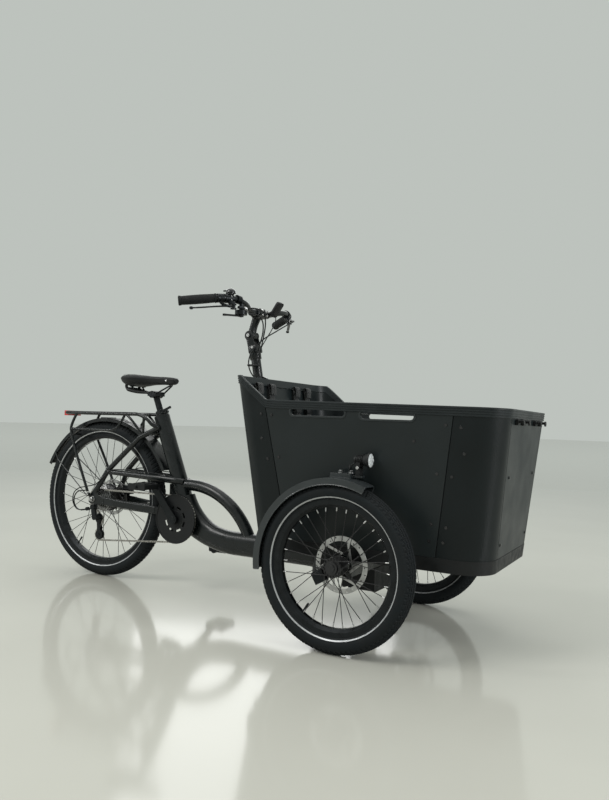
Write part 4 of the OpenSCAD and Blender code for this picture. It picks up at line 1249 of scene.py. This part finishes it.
def harness():
    """Two harnesses: shoulder straps from the rear wall, lap straps and a buckle each."""
    buckle_y = 136
    shoulder_ys = (92, 180)
    wall = rear_x(838) + 13
    tab = rear_x(846)
    part = Piece()
    for side in (-1, 1):
        for y in shoulder_ys:
            end_y = buckle_y + (y - buckle_y) * 0.5
            part.strap([(wall - 1, y, 838), (wall + 10, y, 790), (wall + 26, y * 0.97, 720),
                        (wall + 44, y * 0.93 + 8, 660), (974, end_y + 4, 622),
                        (1010, end_y, 611), (1056, end_y, 610)],
                       36, 2.0, (0, 1, 0), side=side)
            # loop at the top and the adjuster slide below it
            part.strap([(wall - 1, y, 838), (wall + 5, y, 845), (wall + 12, y, 838),
                        (wall + 15, y, 806)], 36, 2.0, (0, 1, 0), steps=6, side=side)
            slide_y = side * y * 0.985
            part.box((wall + 18, slide_y - 22, 742), (wall + 24, slide_y + 22, 764), mat=1,
                     rotation=about_y(-14), bevel=1.5)
        # lap straps, the one nearer the middle of the bench first
        for ys, lean in (((52, 66, 96, 116), -1), ((222, 208, 176, 156), 1)):
            path = list(zip((962, 985, 1020, 1062), ys, (604, 613, 616, 612)))
            part.strap(path, 25, 1.8, (0.6, lean * side * 0.8, 0.1), steps=8, side=side)
        middle = side * buckle_y
        part.box((1050, middle - 26, 608.5), (1102, middle + 26, 621), mat=1, bevel=4)
        # the buckle button takes the red lens material, whose faint emission is a painted glow
        part.turn([(0, 0), (11, 0), (11, 2.0), (9.6, 3.2), (0, 3.6)],
                  (1076, middle, 620.6), (0, 0, 1), steps=28, mat=2)
        for y in shoulder_ys:  # strap ends on the wall
            part.box((tab + 5.2, side * y - 20, 836), (tab + 8.6, side * y + 20, 850),
                     mat=1, rotation=about_y(-7.4), bevel=0.8)
    part.make("harness_straps", ("web", "plastic", "red"), body="front_module",
              slot="webbing", node="harness", sharp=50)


# ------------------------------------------------------------------ headlamps, fenders
LAMP_Y = 341
LAMP_Z = 596


def lamp(side, label):
    forward = (1, 0, 0)
    y = side * LAMP_Y
    part = Piece()
    for k in range(5):
        fin = 14.2 + k * 0.7
        part.turn([(fin - 2.5, -1), (fin, -1), (fin + 0.3, 0), (fin, 1), (fin - 2.5, 1)],
                  (1386 + k * 5.4, y, LAMP_Z), forward, steps=36)
    part.turn([(21.8, -3), (23.6, -3), (24.4, 0), (24.2, 3.6), (22.8, 4.6), (21.6, 3.8)],
              (1430, y, LAMP_Z), forward)
    part.make("lamp_fins_" + label, "plastic", body="front_module", slot="black_plastic")

    part = Piece()
    part.turn([(22.4, -0.5), (21.8, 2.2), (17, 4.6), (9, 6.2), (0, 6.8), (0, 0.5), (10, 0),
               (22, -1.2)], (1430.5, y, LAMP_Z), forward)
    for k in range(6):
        angle = k * math.pi / 3
        ring = Vector((0, math.cos(angle) * 0.0118, math.sin(angle) * 0.0118))
        part.turn([(0, 0), (4.4, 0), (4.0, 2.4), (0, 3.2)],
                  point(1434.4, y, LAMP_Z) + ring, forward, steps=16)
    part.make("lamp_lens_" + label, "lens", body="front_module", slot="clear_lens",
              node="headlight_lenses" if side < 0 else None)

    part = Piece()
    part.tube([(1386, 341, 590), (1372, 344, 580), (1362, 338, 566), (1352, 322, 560),
               (1344, 304, 568), (1342, 300.5, 580)], 2.1, facets=8, side=side)
    part.turn([(0, -9), (3.3, -9), (3.3, 9), (0, 9)], (1395, y, 572), (0, 1, 0),
              steps=18, mat=1)
    for k in (-1, 1):
        part.turn([(0, -2), (5.4, -2), (5.4, 2), (0, 2)], (1395, y + k * 15, 572),
                  (0, 1, 0), steps=6, mat=1)
    part.make("lamp_wire_" + label, ("cable", "steel"), body="front_module",
              slot="black_plastic")


def fender_bolts():
    part = Piece()
    for side in (-1, 1):
        for x in (1322, 1358):
            spot = (x, side * 322, 552.2)
            part.turn([(0, 0), (8.8, 0), (8.8, 1.4), (0, 1.4)], spot, (0, 0, 1), steps=28)
            part.turn([(0, 1.4), (6.2, 1.4), (6.2, 6.4), (5.4, 7.2), (2.6, 7.2), (2.6, 4.6),
                       (0, 4.6)], spot, (0, 0, 1), steps=28)
    part.make("fender_bolts", "steel", body="front_module", slot="bright_steel")


def fender_beading():
    """Beads along both edges of each fender and over its two ends."""
    edge_radius = 255.6
    edge_y = 36.7
    start, sweep = 67, 120.0  # degrees up from forward
    # end bead: distance from the wheel's middle plane, radius from the axle
    half_end = [(edge_y, edge_radius), (37.2, 268), (33, 275)]
    end = [(-y, radius) for y, radius in half_end] + [(0, 276)] + half_end[::-1]

    def spot(radius, degrees, y):
        angle = math.radians(degrees)
        return (FRONT_AXLE_X + radius * math.cos(angle), y,
                FRONT_RADIUS + radius * math.sin(angle))

    part = Piece()
    for side in (-1, 1):
        middle = side * HALF_TRACK
        for edge in (-1, 1):
            part.tube([spot(edge_radius, start + sweep * k / 40, middle + edge * edge_y)
                       for k in range(41)], 2.1, facets=8, steps=0)
        for degrees in (start, start + sweep):
            part.tube([spot(radius, degrees, middle + y) for y, radius in end], 2.0,
                      facets=8, steps=6)
    part.make("fender_beading", "fender", body="front_module", slot="fender_grey")


# ------------------------------------------------------------------ rear rack
# Right half of the rack's top loop, from its front end round to the rear middle
RACK_LOOP = [
    (324, -36, 661), (312, -47, 667), (299, -57, 677), (284, -60.6, 692), (262, -64, 706),
    (232, -67.4, 715.6), (200, -68, 716.8), (60, -68, 715.9), (-80, -68, 715),
    (-176, -67.5, 714.2), (-194, -63, 714), (-203, -50, 714), (-203, 0, 714)]
# Tubes below the loop, on the left: radius, path
RACK_STRUTS = [
    (6, [(-124, 69, 713), (-138, 70.6, 690), (-155, 72, 648), (-150, 74, 625),
         (-134, 76, 587), (-84, 82, 491), (-22, 86, 372)]),
    (5.4, [(-153, 72, 642), (-60, 71, 643), (60, 70, 643.6), (100, 70, 647), (128, 69, 665),
           (146, 68.4, 690), (160, 68, 713)]),
    (5.4, [(168, 68, 714), (200, 67, 689), (228, 60, 656), (246, 52, 631)]),
    (5.4, [(262, 64, 706), (260, 61, 680), (254, 55, 650), (248, 51, 630)])]


def rack():
    part = Piece()
    part.tube(RACK_LOOP + [(x, -y, z) for x, y, z in reversed(RACK_LOOP[:-1])], 7.5,
              facets=18, steps=6)
    for side in (-1, 1):
        for radius, path in RACK_STRUTS:
            part.tube(path, radius, facets=14, side=side)
        part.turn([(0, -5.6), (7, -5.6), (8.4, -4), (8.4, 4), (7, 5.6), (0, 5.6)],
                  (-16, side * 86, 360), (0, 1, 0), steps=24)
        part.turn([(0, 0), (4.6, 0), (4.6, 3), (3.8, 4), (2.2, 4), (2.2, 2), (0, 2)],
                  (-16, side * 91, 360), (0, side, 0), steps=20, mat=1)
    for x in (-120, -20, 80, 180):
        part.tube([(x, -67, 715), (x, 0, 715.4), (x, 67, 715)], 5.4, facets=14)
    part.tube([(-140, -75, 617), (-140, 75, 617)], 4, facets=12, steps=0)
    for side in (-1, 1):  # long low stays that converge forward
        part.tube([(70, 62.4, 463), (180, 57, 459), (304, 50.5, 454), (380, 38, 450),
                   (424, 28, 446), (446, 14, 441)],
                  lambda t: 10.4 + 3.8 * min(1, t * 1.3), facets=20, side=side)
    part.make("rack_tubes", ("frame", "steel"), body="frame", slot="frame_black",
              node="rear_rack", sharp=50)


# ------------------------------------------------------------------ hoses and cables
# Radius and path of each cable that runs from the bar down into the box
BAR_CABLES = [
    (2.5, [(829, -166, 1122), (852, -140, 1126), (862, -96, 1118), (852, -62, 1082),
           (836, -46, 1034), (818, -38, 975), (806, -32, 925), (812, -32, 888),
           (842, -34, 850), (868, -32, 800)]),
    (2.5, [(829, 166, 1122), (862, 138, 1116), (864, 92, 1098), (838, 44, 1064),
           (806, -6, 1024), (776, -38, 972), (768, -42, 925), (786, -40, 884),
           (834, -36, 846), (860, -26, 800)]),
    (2.5, [(830, -146, 1105), (850, -118, 1104), (852, -84, 1086), (838, -56, 1048),
           (818, -42, 1006), (798, -36, 955), (790, -34, 915), (806, -34, 880),
           (836, -30, 846), (856, -28, 800)]),
    (1.9, [(822, 52, 1128), (836, 38, 1108), (832, 20, 1070), (818, 6, 1034),
           (806, -8, 1000), (796, -24, 955), (790, -26, 915), (802, -27, 882),
           (830, -24, 848), (852, -20, 800)])]


def axle_hoses():
    """Brake hose along the axle beam to each front caliper."""
    part = Piece()
    for side in (-1, 1):
        part.tube([(1262, 336, 236), (1252, 332, 262), (1262, 322, 284), (1290, 300, 262),
                   (1316, 262, 252), (1318, 200, 246), (1316, 120, 240), (1290, 60, 232)],
                  2.4, facets=8, side=side)
    part.make("axle_hoses", ("cable", "plastic"), body="front_module", slot="black_plastic")


def frame_cables():
    part = Piece()
    # rear brake hose, on the left
    part.tube([(80, 57, 398), (66, 54, 424), (80, 54, 452), (130, 60, 476), (215, 50, 478),
               (300, 42, 474), (370, 36, 470), (412, 34, 462), (452, 31, 448),
               (520, 28, 434)], 2.3, facets=8)
    # gear cable housing, on the right
    part.tube([(-58, -84, 288), (-84, -86, 292), (-104, -90, 322), (-98, -92, 360),
               (-66, -94, 384), (-24, -92, 394), (26, -86, 408), (60, -78, 440),
               (96, -72, 470), (160, -62, 476), (240, -56, 475), (320, -48, 471),
               (380, -40, 466), (420, -36, 458)], 2.3, facets=8)
    part.make("frame_cables", "cable", body="frame", slot="black_plastic")


def bar_cables():
    """Cables that run between the turning bar and the front module."""
    for i, (radius, path) in enumerate(BAR_CABLES):
        part = Piece()
        part.tube(path, radius, facets=10)
        cable = part.make("bar_cable_%d" % i, "cable")
        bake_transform(cable)
        if i == 0:
            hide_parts("control_cables")
    part = Piece()
    part.box((764, -47, 918), (812, -27, 926), bevel=3)
    part.box((826, -42, 843), (846, -18, 851), bevel=3)
    part.make("cable_clips", "plastic", body="front_module", slot="black_plastic")


# ------------------------------------------------------------------ stem and column
FACE_BOLT_Y = 15
CLAMP_BOLT = (774, 0, 994)


def stem():
    """Forged stem between its hinge and the bar clamp."""
    part = Piece()
    part.tube([STEM_HINGE, (752.5, 0, 1056), (757.5, 0, 1078), (765.5, 0, 1101),
               (773, 0, 1119), BAR_CLAMP],
              lambda t: 18.2 - 2.6 * math.sin(math.pi * min(1, t * 1.05)) ** 1.2 + 1.6 * t
              if t * 1.05 < 1 else 18.2 - 2.6 * math.sin(math.pi) ** 1.2 + 1.6 * t,
              facets=28, flat=0.92)
    part.turn([(5.2, -16.6), (16, -16.6), (18.4, -15), (19.2, -11), (19.2, 11), (18.4, 15),
               (16, 16.6), (5.2, 16.6)], STEM_HINGE, (0, 1, 0), steps=40)
    part.turn([(15.95, -25), (19.4, -25), (21.0, -23), (21.6, -18), (21.6, 18), (21.0, 23),
               (19.4, 25), (15.95, 25)], BAR_CLAMP, (0, 1, 0), steps=44)
    for y in (-FACE_BOLT_Y, FACE_BOLT_Y):
        part.box((790, y - 6.5, 1118), (802, y + 6.5, 1148), bevel=3, rotation=about_y(-20))
    part.make("stem_forging", "frame", body="bar", slot="frame_black", node="stem_head",
              sharp=50)


def column():
    """Leaning tube with a top sleeve, brackets to the rear wall and a hinge fork."""
    part = Piece()
    part.tube([(column_x(z), 0, z) for z in (402, 600, 800, 985)], 19.0, facets=36)
    part.turn([(18.6, 0), (22.0, 0), (23.0, 1.2), (23.0, 38.8), (22.0, 40.4), (18.6, 40.4)],
              (column_x(948), 0, 948), (-COLUMN_LEAN, 0, 1), steps=40)
    for z in (808, 440):  # arm and wall plate
        part.box((column_x(z) + 14, -15, z - 15), (rear_x(z) - 8, 15, z + 15), bevel=2)
        x = rear_x(z) - 4.77
        plate_z = z - 0.52
        part.box((x - 4, -42, plate_z - 26), (x + 4, 42, plate_z + 26), bevel=1.5,
                 rotation=about_y(-7.41))
    web = [(790, 886), (804, 884), (832, 873), (832, 869.6), (793, 869.6)]  # x, z
    part.stack([point(x, y, z) for y in (-3, 3) for x, z in web], len(web))
    cheek_lean = about_y(math.degrees(math.atan2(-17, 57)))
    for side in (-1, 1):
        part.turn([(5.0, 17.5), (18.2, 17.5), (19.0, 18.3), (19.0, 23.2), (18.2, 24.0),
                   (9.0, 24.0), (9.0, 28.4), (8.4, 29.0), (5.0, 29.0)], STEM_HINGE,
                  (0, side, 0), steps=44)
        part.box((744, side * 20.75 - 2.65, 983.8), (775, side * 20.75 + 2.65, 1043.2),
                 rotation=cheek_lean)
    part.box((750, -25.2, 972), (788, 25.2, 1002), bevel=6,
             rotation=about_y(math.degrees(math.atan2(-COLUMN_LEAN, 1))))
    for centre, radius, half in ((STEM_HINGE, 4.95, 26), (CLAMP_BOLT, 4.5, 30)):
        part.turn([(0, -half), (radius, -half), (radius, half), (0, half)], centre,
                  (0, 1, 0), steps=24)
    part.make("column", "frame", body="front_module", slot="frame_black",
              node="steering_column", sharp=40)


def stem_bolts():
    part = Piece()
    for side in (-1, 1):
        part.turn([(0, 0), (5.2, 0), (5.2, 3), (4.4, 3.8), (2.4, 3.8), (2.4, 2.0), (0, 2.0)],
                  (CLAMP_BOLT[0], side * 29.6, CLAMP_BOLT[2]), (0, side, 0), steps=28)
        part.turn([(0, 0), (7.0, 0), (7.0, 1.6), (6.0, 2.4), (3.2, 2.4), (3.2, 1.2),
                   (0, 1.2)], (STEM_HINGE[0], side * 28.8, STEM_HINGE[2]), (0, side, 0),
                  steps=32)
    part.make("stem_bolts", "steel", body="front_module", slot="bright_steel")
    part = Piece()
    for y in (-FACE_BOLT_Y, FACE_BOLT_Y):
        for z in (1122, 1140):
            part.turn([(0, 0), (4.0, 0), (4.0, 3.6), (3.2, 4.4), (1.8, 4.4), (1.8, 2.4),
                       (0, 2.4)], (808.5, y, z), (0.94, 0, 0.34), steps=20)
    part.make("stem_face_bolts", "steel", body="bar", slot="bright_steel")


# ------------------------------------------------------------------ floor, lights, camera
def floor():
    data = bpy.data.meshes.new("floor")
    data.from_pydata([(-40, -40, 0), (40, -40, 0), (40, 60, 0), (-40, 60, 0)], [],
                     [(0, 1, 2, 3)])
    plane = link(bpy.data.objects.new("floor", data))
    shader = Shader("floor_pale")
    color = shader.ramp(shader.noise(1.2, detail=8), (0.50, 0.495, 0.445),
                        (0.58, 0.575, 0.52))
    data.materials.append(shader.done({"Base Color": color, "Roughness": 0.11}))


def world():
    studio = bpy.data.worlds.new("studio")
    bpy.context.scene.world = studio
    studio.use_nodes = True
    background = studio.node_tree.nodes["Background"]
    background.inputs["Color"].default_value = (0.85, 0.905, 0.85, 1)
    background.inputs["Strength"].default_value = 0.60


def area_light(name, location, target, size, power, color=(1, 1, 1), height=None):
    """Area light aimed at target; metres and watts, a rectangle where height is given."""
    data = bpy.data.lights.new(name, "AREA")
    data.energy = power
    data.size = size
    data.color = color
    if height:
        data.shape = "RECTANGLE"
        data.size_y = height
    lamp_object = link(bpy.data.objects.new(name, data))
    lamp_object.location = location
    aim = Vector(target) - Vector(location)
    lamp_object.rotation_euler = aim.to_track_quat("-Z", "Y").to_euler()


def lights():
    area_light("key", (-1.8, -3.6, 4.2), target=(0.1, 0, 0.5), size=2.2, power=112,
               color=(1, 0.99, 0.97))
    area_light("side", (4.8, -0.4, 1.9), target=(1.0, 0, 0.6), size=1.2, power=96,
               color=(0.97, 0.985, 1), height=2.6)
    area_light("top", (0.2, 0.4, 5.2), target=(0, 0, 0.5), size=4.2, power=62)
    area_light("line", (-3.2, -2.6, 2.3), target=(-0.4, 0, 0.6), size=0.25, power=30,
               height=2.6)
    area_light("back", (-2.5, 4.2, 3.0), target=(0, 0, 0.7), size=3.0, power=54)


def camera():
    """Camera ahead and to the right of the machine, looking back and to the left."""
    yaw, pitch, roll = 0.509959, 0.0311704, 0.0349126  # radians
    spot = Vector((2.32641 + REAR_AXLE_X, -2.37026, 0.706505))
    data = bpy.data.cameras.new("camera")
    view = link(bpy.data.objects.new("camera", data))
    ahead = Vector((-math.sin(yaw) * math.cos(pitch), math.cos(yaw) * math.cos(pitch),
                    math.sin(pitch)))
    level = Vector((math.cos(yaw), math.sin(yaw), 0))
    upright = level.cross(ahead)
    right = level * math.cos(roll) + upright * math.sin(roll)
    up = level * -math.sin(roll) + upright * math.cos(roll)
    rows = [(right[i], up[i], -ahead[i], spot[i]) for i in range(3)]
    view.matrix_world = Matrix((*rows, (0, 0, 0, 1)))
    data.sensor_width = 36.0
    data.lens = 32.175
    data.clip_start = 0.05
    bpy.context.scene.camera = view


# ------------------------------------------------------------------ build
finish_cad()
wheels()
chain()
seam_line = saddle_shell()
saddle_seams(seam_line)
saddle_base()
bar_tube()
grips()
levers()
lever_hardware()
display()
bell()
rim_trim()
slot_bezels()
seat_pad()
seat_piping()
harness()
for lamp_side, lamp_label in SIDES:
    lamp(lamp_side, lamp_label)
fender_bolts()
fender_beading()
rack()
axle_hoses()
frame_cables()
bar_cables()
stem()
column()
stem_bolts()
floor()
world()
lights()
camera()
bpy.context.scene.view_settings.view_transform = "Standard"
